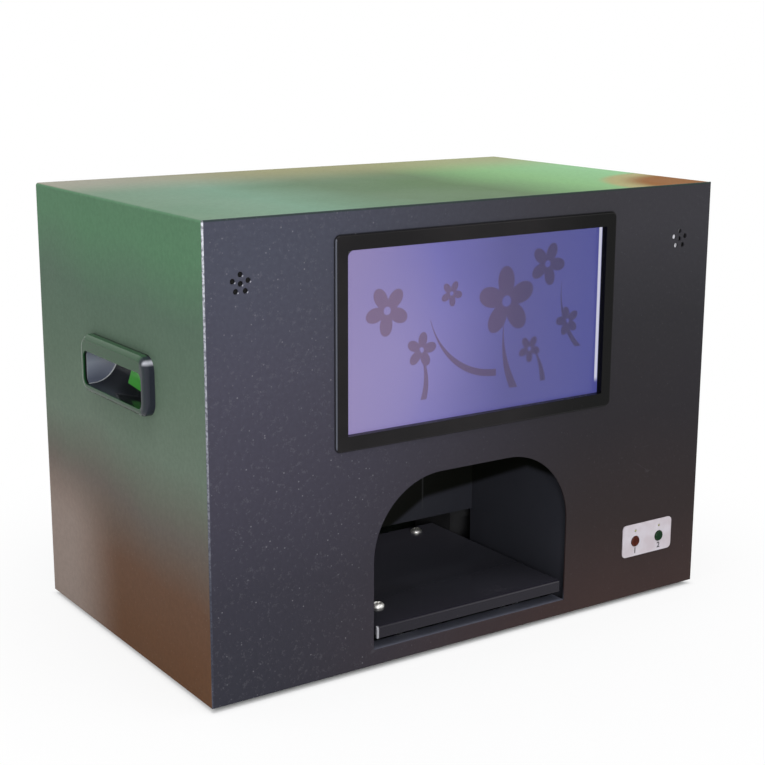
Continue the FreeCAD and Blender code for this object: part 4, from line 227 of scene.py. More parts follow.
def join_up(tree, shader, colour, rough, height=None, depth=0.0):
    """Feeds a shader its colour, roughness and the bump of a height field of a given depth in metres."""
    tree.links.new(colour, shader.inputs["Base Color"])
    tree.links.new(rough, shader.inputs["Roughness"])
    if height is not None:
        bump = put(tree, "Bump", Strength=1.0, Distance=depth, Height=height)
        tree.links.new(bump.outputs["Normal"], shader.inputs["Normal"])


def dress(material, *names):
    """Gives CAD nodes a material in every slot."""
    for name in names:
        for slot in nodes[name].material_slots:
            slot.material = material


# Pebbled skin: two sizes of rounded grain, and the small bright points of its crests.
pebble, given, result = effect("pebbled_skin", ("Height", "Crest"), Place=None, Grain=900.0)
fine = noise(pebble, given["Place"], given["Grain"], 2.0, Roughness=0.55)
coarse = noise(pebble, given["Place"], times(pebble, given["Grain"], 0.32), 1.5, Roughness=0.5)
height = plus(pebble, times(pebble, fine, 0.6), times(pebble, coarse, 0.7))
pebble.links.new(height, result["Height"])
pebble.links.new(spread(pebble, height, 0.72, 0.86), result["Crest"])

# Rubbed edges: where the surface turns within a small radius, broken up by a slow noise.
rubbed, given, result = effect("rubbed_edges", ("Mask",), Place=None, Radius=0.001, Patches=60.0, Cover=0.5)
rounded = put(rubbed, "Bevel", samples=4, Radius=given["Radius"]).outputs[0]
facing = vector(rubbed, "DOT_PRODUCT", rounded, put(rubbed, "NewGeometry").outputs["Normal"], "Value")
patches = noise(rubbed, given["Place"], given["Patches"], 5.0, Roughness=0.6)
kept = spread(rubbed, patches, minus(rubbed, 0.95, given["Cover"]), minus(rubbed, 1.1, given["Cover"]))
rubbed.links.new(times(rubbed, spread(rubbed, facing, 0.985, 0.86), kept), result["Mask"])

# Scuffs: thin short strokes, a stretched noise cut at its thin middle band and thinned out by a second noise.
scuffs, given, result = effect("scuffs", ("Mask",), Place=None, Size=14.0, Stretch=None)
drawn = vector(scuffs, "MULTIPLY", given["Place"], given["Stretch"])
strokes = noise(scuffs, drawn, given["Size"], 3.0, Distortion=0.4)
few = noise(scuffs, given["Place"], 19.0, 2.0)
scuffs.links.new(times(scuffs, spread(scuffs, apart(scuffs, strokes, 0.5), 0.006, 0.0),
                       spread(scuffs, few, 0.62, 0.72)), result["Mask"])

# Rounded outline: how far a place lies outside an upright rectangle with round corners. Its distance past the
# corner circles' middles, on each axis never below zero, is taken as one length, less the circles' radius.
outline, given, result = effect("rounded_outline", ("Gap",), Place=None, Middle=None, Half=None, Radius=0.005)
off = vector(outline, "ABSOLUTE", vector(outline, "SUBTRACT", given["Place"], given["Middle"]))
past = vector(outline, "MAXIMUM", vector(outline, "SUBTRACT", off, given["Half"]))
outline.links.new(minus(outline, vector(outline, "LENGTH", past, output="Value"), given["Radius"]), result["Gap"])


def outline_gap(tree, place, left, right, bottom, top, radius):
    """Gap to a rounded outline with these edges, whatever the depth."""
    return use(tree, outline, place, Middle=((left + right) / 2, 0.0, (bottom + top) / 2), Radius=radius,
               Half=((right - left) / 2 - radius, 1.0, (top - bottom) / 2 - radius))[0]


def front_colour(tree, place, cloud):
    """Painted light and reflections on black paint: slate at the left and brown-black at the right, each lighter at its
    top. The left fold carries a painted highlight, lightest towards its top, the sill is painted paler behind the front
    face, a painted shadow lines the seam round the screen bezel, the seam along the top is dark, and each hole of the
    left speaker has a painted glint at its lower right."""
    x, y, z = axes(tree, place)
    drift = plus(tree, z, times(tree, cloud, PAINT_DRIFT))
    # Painted light and reflections: lit slate at the left and brown-black at the right, both lighter towards the top.
    left = ramp(tree, drift, 0.03, 0.38, (48, 48, 57), (52, 51, 61), (63, 61, 73), (69, 68, 81), (70, 72, 85))
    right = ramp(tree, drift, 0.03, 0.38, (57, 42, 40), (43, 35, 35), (37, 34, 38), (40, 39, 43), (51, 50, 55))
    colour = tint(tree, spread(tree, x, -0.25, 0.15), left, right)
    # A painted highlight runs up the rounded left fold, broken into dashes and lightest at the top.
    highlight_breaks = spread(tree, noise(tree, place, 420.0, 2.0), 0.35, 0.6, 0.3, 1.0)
    fold = spread(tree, x, *(front_low.x + reach for reach in FOLD_HIGHLIGHT))
    metal_and_highlight = ramp(tree, z, 0.0, 0.38, (58, 60, 72), (70, 72, 84), (134, 136, 146), (176, 178, 188), (222, 224, 232))
    colour = tint(tree, times(tree, fold, highlight_breaks), colour, metal_and_highlight)
    # The sill behind the front face is painted paler: painted light where it lies in shade.
    behind = spread(tree, y, *(front_low.y + reach for reach in SILL_FACE))
    colour = tint(tree, times(tree, behind, spread(tree, z, *SILL_LIGHT_TOP)), colour, (92, 94, 106))
    # A painted shadow lines the seam round the screen bezel.
    seam = outline_gap(tree, place, bezel_low.x, bezel_high.x, bezel_low.z, bezel_high.z, BEZEL_CORNER)
    colour = tint(tree, spread(tree, seam, *BEZEL_SEAM_SHADOW, 0.0, 0.75), colour, (14, 14, 17))
    top_seam = spread(tree, z, *(front_high.z - reach for reach in TOP_SEAM), 0.0, 0.7)
    colour = tint(tree, top_seam, colour, (30, 50, 40))
    # Each hole of the left speaker has a painted glint on its rim at its lower right.
    middle = (speaker_low + speaker_high) / 2
    holes = [(0.0, 0.0)] + [(HOLE_RING * math.cos(turn), HOLE_RING * math.sin(turn))
                            for turn in np.radians((90, 162, 234, 306, 18))]
    hole_glints = [(middle.x + hole_x + HOLE_GLINT_OFF[0], front_low.y, middle.z + hole_z + HOLE_GLINT_OFF[1])
             for hole_x, hole_z in holes]
    nearest = calc(tree, "MINIMUM", *(vector(tree, "DISTANCE", place, glint_place, "Value") for glint_place in hole_glints))
    return tint(tree, spread(tree, nearest, *HOLE_GLINT_SIZE), colour, (176, 176, 186))


def cover_colour(tree, place, cloud):
    """Painted reflections on black paint: grey-green sides that turn brown towards the floor and paler at the lower
    rear; a lid that is green, sandy along its rear and amber in its front right corner; a painted shadow on the lip
    against the front plate."""
    x, y, z = axes(tree, place)
    drift = plus(tree, z, times(tree, cloud, PAINT_DRIFT))
    # Painted reflections: the sides and the lid take the colours of the surroundings, green, brown, sand and amber.
    side = ramp(tree, drift, 0.045, 0.385, (99, 68, 46), (102, 75, 58), (104, 97, 90), (109, 124, 109), (100, 119, 102),
                (93, 115, 98), (94, 133, 102))
    low_rear = times(tree, spread(tree, y, 0.0, 0.12), spread(tree, z, 0.16, 0.08))
    side = tint(tree, low_rear, side, (150, 135, 126))
    lid = ramp(tree, plus(tree, x, times(tree, cloud, 2 * PAINT_DRIFT)), -0.21, 0.31, (110, 136, 114), (110, 144, 122),
               (94, 118, 90), (88, 114, 78), (128, 172, 118), (140, 190, 140))
    rear = tint(tree, spread(tree, x, -0.22, 0.0), (158, 150, 136), (155, 150, 109))
    lid = tint(tree, spread(tree, y, 0.02, 0.15, 0.0, 0.8), lid, rear)
    off = put(tree, "CombineXYZ", X=minus(tree, x, front_high.x), Y=minus(tree, y, front_low.y)).outputs[0]
    corner = vector(tree, "LENGTH", off, output="Value")
    lid = tint(tree, spread(tree, corner, *LID_CORNER_SAND), lid, (163, 156, 108))
    lid = tint(tree, spread(tree, corner, *LID_CORNER_AMBER), lid, (130, 78, 0))
    colour = tint(tree, spread(tree, z, *(front_high.z - reach for reach in LID_FACE)), side, lid)
    # A painted shadow darkens the cover's lip against the front plate.
    return tint(tree, spread(tree, y, *COVER_LIP_SHADOW, 0.0, 0.85), colour, (32, 34, 36))


def plain_colour(tree, place, cloud):
    """Even dark grey-green."""
    return ramp(tree, cloud, 0.3, 0.7, (62, 72, 66), (74, 84, 76))


def powder_coat(name, colour_of, wear_and_glint_colour, glint_share, crest_glint_share, specular):
    """Satin powder coat: its colour over the piece, a fine pebbled skin with painted glints on pale grains and crests
    that grow rare to the right, away from the light, rubbed edges, and few scuffs."""
    material, tree, shader, place = finish(name)
    grain = use(tree, pebble, place, Grain=820.0)
    x, _, z = axes(tree, place)
    cloud = noise(tree, place, 6.0, 3.0)
    colour = colour_of(tree, place, cloud)
    fine_cloud = noise(tree, place, 260.0, 3.0)
    colour = tint(tree, spread(tree, fine_cloud, 0.25, 0.75, 0.0, 0.10), colour, (20, 20, 22))
    # Painted glints: pale grain cells and crests, rarer towards the right, away from the light.
    leftward = spread(tree, x, 0.02, -0.2, 0.15, 1.0)
    cells = put(tree, "TexVoronoi", Vector=place, Scale=300.0, Randomness=1.0)
    glint = axes(tree, cells.outputs["Color"])[0]
    painted_glints = times(tree, spread(tree, cells.outputs["Distance"], 0.26, 0.10), spread(tree, glint, 0.80, 1.0), leftward)
    worn = use(tree, rubbed, place, Radius=0.0011, Patches=34.0, Cover=0.3)[0]
    scuffed = use(tree, scuffs, place, Size=16.0, Stretch=(1.0, 1.0, 2.6))[0]
    marks = most(tree, times(tree, worn, spread(tree, z, *FOOT_LINE, 0.0, 0.25)), times(tree, scuffed, 0.04),
                 times(tree, grain["Crest"], leftward, crest_glint_share), times(tree, painted_glints, glint_share))
    rough = plus(tree, mottle(tree, cloud, 0.42, 0.52), times(tree, marks, 0.2))
    join_up(tree, shader, tint(tree, marks, colour, wear_and_glint_colour), rough, grain["Height"], 0.00008)
    fix(shader, Specular_IOR_Level=specular)
    return material


dress(powder_coat("front_paint", front_colour, (176, 174, 180), 0.26, 0.05, 0.1), "front_panel")
dress(powder_coat("cover_paint", cover_colour, (170, 176, 164), 0.06, 0.0, 0.02), "wrap_cover")
dress(powder_coat("case_paint", plain_colour, (170, 172, 166), 0.10, 0.05, 0.12), "base_pan", "rear_panel")


# ---- Rubber feet.
# Four tapered feet pressed through the base; matte black rubber, a little dusty and pale at the rim
# that the box slides on.

material, tree, shader, place = finish("foot_rubber")
dust = (66, 64, 62)
grain = use(tree, pebble, place, Grain=1500.0)
cloud = noise(tree, place, 140.0, 4.0)
worn = use(tree, rubbed, place, Radius=0.0008, Patches=200.0, Cover=0.5)[0]
colour = tint(tree, spread(tree, cloud, 0.4, 0.75), (30, 30, 31), dust)
join_up(tree, shader, tint(tree, times(tree, worn, 0.6), colour, dust), mottle(tree, cloud, 0.7, 0.88),
        grain["Height"], 0.00008)
dress(material, "rubber_feet")


# ---- Moulded plastic pieces: pull handles, screen bezel and hand bay liner.
# Black ABS from polished moulds: a deep gloss broken by a faint flow texture, hairline scratches, dust
# specks and edges rubbed grey where hands and cloths reach. Painted light lies over some: reflections and glare on
# the handles, shade and a highlight on the bezel, and a lighter tone with the shade under the arch on the liner.

FLANGE_FACE = (0.2670, 0.2686)     # distance from the box's middle plane at which the flange's outer face begins
FLANGE_TOP = (0.2612, 0.2622)      # the same for its upper surface, and
FLANGE_TOP_Z = (0.2650, 0.2685)    # height
FLANGE_FOOT_Z = (0.2270, 0.2225)
FLANGE_END_Y = (-0.0612, -0.0648)
MOUTH_OUT = (0.2662, 0.2655)       # the pocket lies within these four soft limits
MOUTH_FRONT_Y = (-0.0653, -0.0650)
MOUTH_FOOT_Z = (0.2250, 0.2255)
MOUTH_TOP_Z = (0.2646, 0.2643)
LIT_PLANES = (((0.8492, -0.4564, -0.2658), 0.27443), ((0.6112, -0.0777, 0.7876), -0.03129))    # normal, offset
LIT_Y = (-0.040, -0.020)
GLARE_Z = 0.2652
GLARE_Y = (-0.0655, -0.0680)
BRIGHT_EDGE_Y = (0.0440, 0.0448)
END_WALL_Y = (0.0464, 0.0468)
END_WALL_Z = (0.230, 0.258)
BEZEL_EDGE = (0.0012, 0.0006)      # from the bezel's left side, where its painted highlight begins and is full
BEZEL_EDGE_Y = (-0.1585, -0.1590)
ARCH_SHADE = 0.127                 # height of the arch's shade at the liner's front
SHADE_FALL = (0.1274, -0.0942, 0.451)     # height, y at which it has that height, and its slope towards the rear
SHADE_GENTLE = (0.1057, 0.08)      # x at which the shade on the back starts to come down, and its slope
SHADE_STEEP = (0.0494, 0.55, 0.0045)      # the same for its steep part, which starts a little lower
LINER_SEAM_X = 0.0464
LINER_BACK_Y = (-0.0106, -0.0102)


def gloss(name, base, mottled, rough_low, rough_high, wear_colour, wear_cover, flow_size=260.0, depth=0.00002,
          speck_share=0.6, specular=0.15, shade=None):
    """Polished black moulding with hairlines, dust specks and rubbed edges, and any painted light and shade given for
    the piece.
    """
    material, tree, shader, place = finish(name)
    flow = noise(tree, place, flow_size, 2.0)
    cloud = noise(tree, place, 9.0, 4.0, Roughness=0.6)
    hair = use(tree, scuffs, place, Size=30.0, Stretch=(3.0, 1.0, 0.5))[0]
    specks = put(tree, "TexVoronoi", Vector=place, Scale=150.0, Randomness=1.0).outputs["Distance"]
    rare = noise(tree, place, 70.0, 1.0)
    speck = times(tree, spread(tree, specks, 0.07, 0.03), spread(tree, rare, 0.6, 0.66))
    worn = use(tree, rubbed, place, Radius=0.0008, Patches=90.0, Cover=wear_cover)[0]
    marks = most(tree, times(tree, worn, 0.7), times(tree, hair, 0.18), times(tree, speck, speck_share))
    colour = tint(tree, spread(tree, cloud, 0.35, 0.7), base, mottled)
    if shade:
        colour = shade(tree, place, colour)
    rough = plus(tree, spread(tree, cloud, 0.3, 0.72, rough_low, rough_high), times(tree, marks, 0.3))
    join_up(tree, shader, tint(tree, marks, colour, wear_colour), rough, flow, depth)
    fix(shader, Specular_IOR_Level=specular)
    return material


def handle_shade(tree, place, colour):
    """Painted reflections and light: a green flange face, lighter on top and darker at its foot, a slate front end with
    a painted glare near its top, and a pocket painted lighter, with a pale rear end wall inside a painted bright edge.
    On the back of the left handle's pocket lies painted green light, where a place is on the outer side of two slanting
    planes: its dot product with each normal, plus the offset, is above zero."""
    x, y, z = axes(tree, place)
    out = calc(tree, "ABSOLUTE", x)
    colour = tint(tree, spread(tree, out, *FLANGE_FACE), colour, (22, 69, 34))
    upper = times(tree, spread(tree, out, *FLANGE_TOP), spread(tree, z, *FLANGE_TOP_Z))
    colour = tint(tree, upper, colour, (58, 90, 64))
    colour = tint(tree, spread(tree, z, *FLANGE_FOOT_Z, 0.0, 0.8), colour, (12, 44, 24))
    colour = tint(tree, spread(tree, y, *FLANGE_END_Y, 0.0, 0.9), colour, (44, 47, 56))
    pocket = times(tree, spread(tree, out, *MOUTH_OUT), spread(tree, y, *MOUTH_FRONT_Y), spread(tree, z, *MOUTH_FOOT_Z),
                   spread(tree, z, *MOUTH_TOP_Z))
    colour = tint(tree, times(tree, pocket, 0.8), colour, (38, 40, 43))
    lit = [spread(tree, plus(tree, vector(tree, "DOT_PRODUCT", place, normal, "Value"), offset), -0.0002, 0.0004)
           for normal, offset in LIT_PLANES]
    lit = times(tree, pocket, *lit, spread(tree, y, *LIT_Y), spread(tree, x, 0.0, -0.1))
    colour = tint(tree, lit, colour, (97, 200, 87))
    glare = times(tree, spread(tree, apart(tree, z, GLARE_Z), 0.0030, 0.0), spread(tree, y, *GLARE_Y), 0.75)
    colour = tint(tree, glare, colour, (206, 206, 216))
    colour = tint(tree, times(tree, pocket, spread(tree, y, *BRIGHT_EDGE_Y)), colour, (250, 250, 252))
    wall = ramp(tree, z, *END_WALL_Z, (98, 104, 120), (140, 146, 160), (84, 90, 104))
    return tint(tree, times(tree, pocket, spread(tree, y, *END_WALL_Y)), colour, wall)


def bezel_shade(tree, place, colour):
    """Painted shade, deeper black to the right, and a painted highlight down the left edge."""
    x, y, _ = axes(tree, place)
    edge = spread(tree, x, *(bezel_low.x + reach for reach in BEZEL_EDGE), 0.0, 0.6)
    colour = tint(tree, times(tree, edge, spread(tree, y, *BEZEL_EDGE_Y)), colour, (112, 116, 128))
    return tint(tree, spread(tree, x, 0.02, 0.13), colour, (9, 9, 9))


def liner_shade(tree, place, colour):
    """The shade under the arch: black above a line that falls towards the rear, and on the back from right to
    left, first gently and then steeply, and a faint upright seam on the back."""
    x, y, z = axes(tree, place)
    fall = minus(tree, SHADE_FALL[0], times(tree, minus(tree, y, SHADE_FALL[1]), SHADE_FALL[2]))
    gentle = times(tree, minus(tree, SHADE_GENTLE[0], x), SHADE_GENTLE[1])
    steep = plus(tree, times(tree, minus(tree, SHADE_STEEP[0], x), SHADE_STEEP[1]), SHADE_STEEP[2])
    line = minus(tree, calc(tree, "MINIMUM", fall, ARCH_SHADE), most(tree, gentle, steep, 0.0))
    colour = tint(tree, spread(tree, minus(tree, z, line), -0.003, 0.003), colour, (15, 16, 12))
    seam = times(tree, spread(tree, apart(tree, x, LINER_SEAM_X), 0.0011, 0.0005), spread(tree, z, 0.070, 0.078),
                 spread(tree, y, *LINER_BACK_Y, 0.0, 0.4))
    return tint(tree, seam, colour, (70, 70, 72))


dress(gloss("handle_plastic", (22, 24, 25), (30, 32, 34), 0.10, 0.18, (104, 114, 108), 0.30,
            specular=0.2, shade=handle_shade), "handle_left", "handle_right")
dress(gloss("bezel_plastic", (24, 23, 24), (32, 30, 31), 0.16, 0.26, (70, 66, 64), 0.30,
            speck_share=0.3, specular=0.1, shade=bezel_shade), "screen_bezel")
# The liner is drawn lighter than black moulding, as painted light, and liner_shade paints the shade under the arch.
dress(gloss("liner_plastic", (52, 53, 60), (56, 57, 64), 0.32, 0.44, (60, 60, 64), 0.20,
            flow_size=500.0, depth=0.00003, speck_share=0.3, shade=liner_shade), "hand_bay_liner")


# ---- Screen: touch glass over a lit liquid-crystal panel.
# Clear toughened glass with ground edges lies on the panel, which shows a violet page of plain blossoms
# and stems, lightest at its left, where a reflection is painted into its light; the panel's rim and back are tinned
# steel.

glass_low, glass_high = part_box("touch_glass")
panel_low, panel_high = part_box("lcd_panel")

GLASS_CORNER = 0.002
GLASS_GAP = 0.0002       # film of air between the glass and the panel
GLASS_GROUND = 0.0004    # ground-off edge
OUTLINE_STEPS = 64       # points round the glass
COATED_IOR = 1.2         # of glass with an anti-glare coat
SCREEN_MIDDLE = (panel_low + panel_high) / 2
PETALS = 5.0
PAGE_EDGES = (-0.1304, 0.1500, 0.1990, 0.3541)    # left, right, bottom and top of the lit page
PAGE_CORNER = 0.006
PANEL_SHEET = (0.0004, 0.0008)   # behind the panel's front: where its steel back begins

# Each blossom's middle from the screen's middle, reach of its petals, and turn.
BLOSSOMS = ((-0.092, 0.022, 0.021, 0.4), (-0.058, -0.014, 0.015, 1.1), (-0.028, 0.030, 0.011, 0.2),
            (0.030, 0.018, 0.030, 0.9), (0.074, 0.046, 0.019, 0.1), (0.098, -0.006, 0.013, 0.7),
            (0.056, -0.026, 0.012, 0.3))
# Each stem's circle from the screen's middle, its radius and width, its lowest and highest point, and its side.
STEMS = ((0.020, 0.030, 0.072, 0.0030, -0.052, 0.010, 1.0), (0.125, -0.010, 0.098, 0.0034, -0.058, 0.000, 1.0),
         (0.010, -0.062, 0.062, 0.0026, -0.056, -0.022, -1.0), (-0.105, -0.040, 0.052, 0.0026, -0.056, -0.006, -1.0),
         (0.160, 0.020, 0.070, 0.0022, -0.030, 0.030, 1.0))


def add_object(name, data):
    """Puts a mesh, lamp or camera in the scene."""
    made = bpy.data.objects.new(name, data)
    bpy.context.scene.collection.objects.link(made)
    return made


def link_in(name, mesh, body, slot, *replaced):
    """Puts a finished mesh in the scene as a piece that rides on a body."""
    piece = add_object(name, mesh)
    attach(piece, body)
    if replaced:
        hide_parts(*replaced)


def skin(name, grids, material, smooth=True):
    """One mesh from grids of points, each (points, wrap rows, wrap columns): quads join neighbours, and a
    wrapped side joins its last line to its first. Doubles are merged, which closes poles and seams, and the
    normals then point outwards."""
    corners, quads, offset = [], [], 0
    for points, wrap_rows, wrap_columns in grids:
        rows, columns = points.shape[:2]
        index = np.arange(rows * columns).reshape(rows, columns) + offset
        if wrap_rows:
            index = np.vstack([index, index[:1]])
        if wrap_columns:
            index = np.hstack([index, index[:, :1]])
        quads.append(np.stack([index[:-1, :-1], index[:-1, 1:], index[1:, 1:], index[1:, :-1]], -1).reshape(-1, 4))
        corners.append(points.reshape(-1, 3))
        offset += rows * columns
    mesh = bpy.data.meshes.new(name)
    mesh.from_pydata(np.vstack(corners), [], np.vstack(quads).tolist())
    shape = bmesh.new()
    shape.from_mesh(mesh)
    bmesh.ops.remove_doubles(shape, verts=shape.verts, dist=1e-7)
    bmesh.ops.dissolve_degenerate(shape, edges=shape.edges, dist=1e-8)
    bmesh.ops.recalc_face_normals(shape, faces=shape.faces)
    shape.to_mesh(mesh)
    shape.free()
    mesh.polygons.foreach_set("use_smooth", np.full(len(mesh.polygons), smooth))
    mesh.materials.append(material)
    return mesh


def rounded_plate(low, high, radius, y_front, y_back, ground):
    """Rows of a flat plate's skin: the outline is a rectangle whose corners are quarter circles, and each row
    is that outline drawn in and set at a depth. The first and last row shrink to the middle."""
    turn = np.linspace(0, 2 * np.pi, OUTLINE_STEPS, endpoint=False)
    quarter = np.floor(turn / (np.pi / 2) + 1e-9)
    sign_x = np.where((quarter == 0) | (quarter == 3), 1.0, -1.0)
    sign_z = np.where(quarter < 2, 1.0, -1.0)
    middle, half = (low + high) / 2, (high - low) / 2
    rows = []
    for inset, y in ((None, y_front), (ground, y_front), (0.0, y_front + ground), (0.0, y_back - ground),
                     (ground, y_back), (None, y_back)):
        if inset is None:
            rows.append(np.tile([middle.x, y, middle.z], (OUTLINE_STEPS, 1)))
            continue
        x = middle.x + sign_x * (half.x - radius) + (radius - inset) * np.cos(turn)
        z = middle.z + sign_z * (half.z - radius) + (radius - inset) * np.sin(turn)
        rows.append(np.stack([x, np.full(OUTLINE_STEPS, y), z], -1))
    return np.stack(rows)


def bands(tree, place, direction, scale):
    """Share that rises and falls evenly along a direction."""
    return put(tree, "TexWave", wave_type="BANDS", bands_direction=direction, Vector=place, Scale=scale).outputs["Fac"]


material, tree, shader, place = finish("screen_glass")
smear = noise(tree, place, 16.0, 4.0, Distortion=0.8)
join_up(tree, shader, tint(tree, smear, (0.97, 0.97, 0.99, 1), (1, 1, 1, 1)), spread(tree, smear, 0.45, 0.7, 0.0, 0.04))
fix(shader, IOR=COATED_IOR, Transmission_Weight=1.0)
plate = rounded_plate(glass_low, glass_high, GLASS_CORNER, glass_low.y, glass_high.y - GLASS_GAP, GLASS_GROUND)
link_in("screen_glass", skin("screen_glass", [(plate, False, True)], material, smooth=False), "root",
        "screen_glass", "touch_glass")

# One blossom: petals are a circle whose radius swells five times round it, with a soft heart left out.
blossom, given, result = effect("blossom", ("Mask",), Place=None, X=0.0, Z=0.0, Reach=0.01, Turn=0.0)
x, _, z = axes(blossom, given["Place"])
dx, dz = minus(blossom, x, given["X"]), minus(blossom, z, given["Z"])
away = calc(blossom, "SQRT", plus(blossom, times(blossom, dx, dx), times(blossom, dz, dz)))
angle = plus(blossom, calc(blossom, "ARCTAN2", dz, dx), given["Turn"])
swell = calc(blossom, "ABSOLUTE", calc(blossom, "COSINE", times(blossom, angle, PETALS / 2)))
rim = times(blossom, given["Reach"], plus(blossom, 0.42, times(blossom, swell, 0.58)))
share = calc(blossom, "DIVIDE", away, rim)
heart = calc(blossom, "DIVIDE", away, given["Reach"])
blossom.links.new(times(blossom, spread(blossom, share, 1.03, 0.97), spread(blossom, heart, 0.13, 0.19)),
                  result["Mask"])

# One stem: a band along the left or right side of a circle, between two heights and thinner towards the upper.
stem, given, result = effect("stem", ("Mask",), Place=None, X=0.0, Z=0.0, Radius=0.05, Width=0.003, Low=0.2, High=0.3,
                             Left=1.0)
x, _, z = axes(stem, given["Place"])
dx, dz = minus(stem, x, given["X"]), minus(stem, z, given["Z"])
away = calc(stem, "SQRT", plus(stem, times(stem, dx, dx), times(stem, dz, dz)))
along = spread(stem, z, given["Low"], given["High"])
taper = times(stem, given["Width"], minus(stem, 1.1, along))
off = calc(stem, "DIVIDE", apart(stem, away, given["Radius"]), taper)
side = calc(stem, "GREATER_THAN", times(stem, dx, -1.0, given["Left"]), 0.0)
stem.links.new(times(stem, spread(stem, off, 1.06, 0.94), side, calc(stem, "GREATER_THAN", z, given["Low"]),
                     calc(stem, "LESS_THAN", z, given["High"])), result["Mask"])

material, tree, shader, place = finish("lcd_picture")
x, y, z = axes(tree, place)
cloud = noise(tree, place, 9.0, 2.0)
# Painted reflection in the page's light: lighter towards the left and round a spot at the lower left.
page = ramp(tree, plus(tree, x, times(tree, cloud, 0.06)), -0.10, 0.15, (146, 134, 184), (116, 112, 180), (92, 90, 150),
            (78, 80, 148))
reflection_spot = (SCREEN_MIDDLE.x - 0.09, panel_low.y, SCREEN_MIDDLE.z - 0.03)
reflection_distance = vector(tree, "DISTANCE", place, reflection_spot, "Value")
page = tint(tree, spread(tree, reflection_distance, 0.12, 0.0, 0.0, 0.5), page, (160, 148, 196))
drawn = [use(tree, blossom, place, X=SCREEN_MIDDLE.x + x_off, Z=SCREEN_MIDDLE.z + z_off, Reach=reach, Turn=turn)[0]
         for x_off, z_off, reach, turn in BLOSSOMS]
drawn += [use(tree, stem, place, X=SCREEN_MIDDLE.x + x_off, Z=SCREEN_MIDDLE.z + z_off, Radius=radius, Width=width,
              Low=SCREEN_MIDDLE.z + low, High=SCREEN_MIDDLE.z + high, Left=left)[0]
          for x_off, z_off, radius, width, low, high, left in STEMS]
rightward = spread(tree, plus(tree, x, times(tree, cloud, 0.05)), -0.10, 0.13)
print_colour = tint(tree, rightward, (122, 100, 128), (66, 58, 92))
page = tint(tree, times(tree, most(tree, *drawn), 0.85), page, print_colour)
rows = bands(tree, place, "Z", 420.0)
page = tint(tree, times(tree, rows, 0.05), page, (0.0, 0.0, 0.0, 1.0))
# A pale bar stands along the page's right end.
bar = times(tree, spread(tree, x, SCREEN_MIDDLE.x + 0.1312, SCREEN_MIDDLE.x + 0.1320),
            spread(tree, x, SCREEN_MIDDLE.x + 0.1352, SCREEN_MIDDLE.x + 0.1346),
            spread(tree, z, SCREEN_MIDDLE.z - 0.066, SCREEN_MIDDLE.z - 0.060))
page = tint(tree, times(tree, bar, 0.8), page, (226, 226, 240))
gap = outline_gap(tree, place, *PAGE_EDGES, PAGE_CORNER)
page = tint(tree, spread(tree, gap, -0.0003, 0.0002), page, (16, 16, 18))
behind = spread(tree, y, *(panel_low.y + reach for reach in PANEL_SHEET))
tree.links.new(tint(tree, behind, page, (0.0, 0.0, 0.0, 1.0)), shader.inputs["Emission Color"])
tin = tint(tree, behind, (0.004, 0.004, 0.005, 1.0), (150, 152, 156))
join_up(tree, shader, tin, mottle(tree, cloud, 0.35, 0.5))
fix(shader, Emission_Strength=0.95, Specular_IOR_Level=0.05)
dress(material, "lcd_panel")


# ---- Loudspeakers.
# Black paper cones in pressed baskets, seen only through the six holes in front of each. The right one has
# painted light on its left half, pale and glowing, that shows through its holes.

LIT_BAND = (0.006, -0.001)     # from the cone's middle: where the painted light begins and is full, towards the left
PAINTED_GLOW = 0.8                  # strength of the painted light that shows through the holes

for name in ("speaker_left", "speaker_right"):
    material, tree, shader, place = finish(name)
    fibre = noise(tree, place, 900.0, 3.0)
    colour = tint(tree, fibre, (12, 12, 13), (40, 39, 40))
    if name == "speaker_right":
        # Painted light: the cone's left half is pale and glows as if lit through the holes.
        low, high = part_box(name)
        lit_side = spread(tree, axes(tree, place)[0], *((low.x + high.x) / 2 + reach for reach in LIT_BAND))
        colour = tint(tree, lit_side, colour, (150, 150, 154))
        tree.links.new(tint(tree, lit_side, (0, 0, 0, 1), (206, 206, 212)), shader.inputs["Emission Color"])
        fix(shader, Emission_Strength=PAINTED_GLOW)
    join_up(tree, shader, colour, mottle(tree, fibre, 0.75, 0.95), fibre, 0.0001)
    dress(material, name)


# ---- Button group: label plate, two push buttons, two lamps, switches and board.
# The plate is off-white polycarbonate film on a stiff backing with plain numerals for the two buttons; the
# caps are gloss mouldings in dark red-brown and dark green, and the lamps are clear noses.

NUMERAL_SIZE = 0.0074    # height of the type
NUMERAL_RISE = 0.00004   # thickness of the ink
NUMERAL_BOLD = 0.00022   # how far its strokes are widened
NUMERAL_DROP = 0.0104    # middle of the plate to the middle of the numerals

material, tree, shader, place = finish("label_plastic")
cloud = noise(tree, place, 60.0, 4.0)
grain = use(tree, pebble, place, Grain=2400.0)
worn = use(tree, rubbed, place, Radius=0.0005, Patches=220.0, Cover=0.4)[0]
colour = tint(tree, spread(tree, cloud, 0.35, 0.7), (196, 190, 197), (186, 176, 182))
join_up(tree, shader, tint(tree, times(tree, worn, 0.5), colour, (150, 140, 140)),
        mottle(tree, cloud, 0.38, 0.5), grain["Height"], 0.00003)
dress(material, "button_plate")


def cap_plastic(name, base, deep):
    """Gloss moulding of a small cap: mottled colour, faint rings from fingertips and a rubbed rim."""
    material, tree, shader, place = finish(name)
    cloud = noise(tree, place, 420.0, 4.0)
    worn = use(tree, rubbed, place, Radius=0.0006, Patches=500.0, Cover=0.55)[0]
    colour = tint(tree, spread(tree, cloud, 0.35, 0.65), base, deep)
    join_up(tree, shader, tint(tree, times(tree, worn, 0.4), colour, (150, 140, 130)),
            mottle(tree, cloud, 0.14, 0.3), cloud, 0.00003)
    fix(shader, Specular_IOR_Level=0.08)
    return material


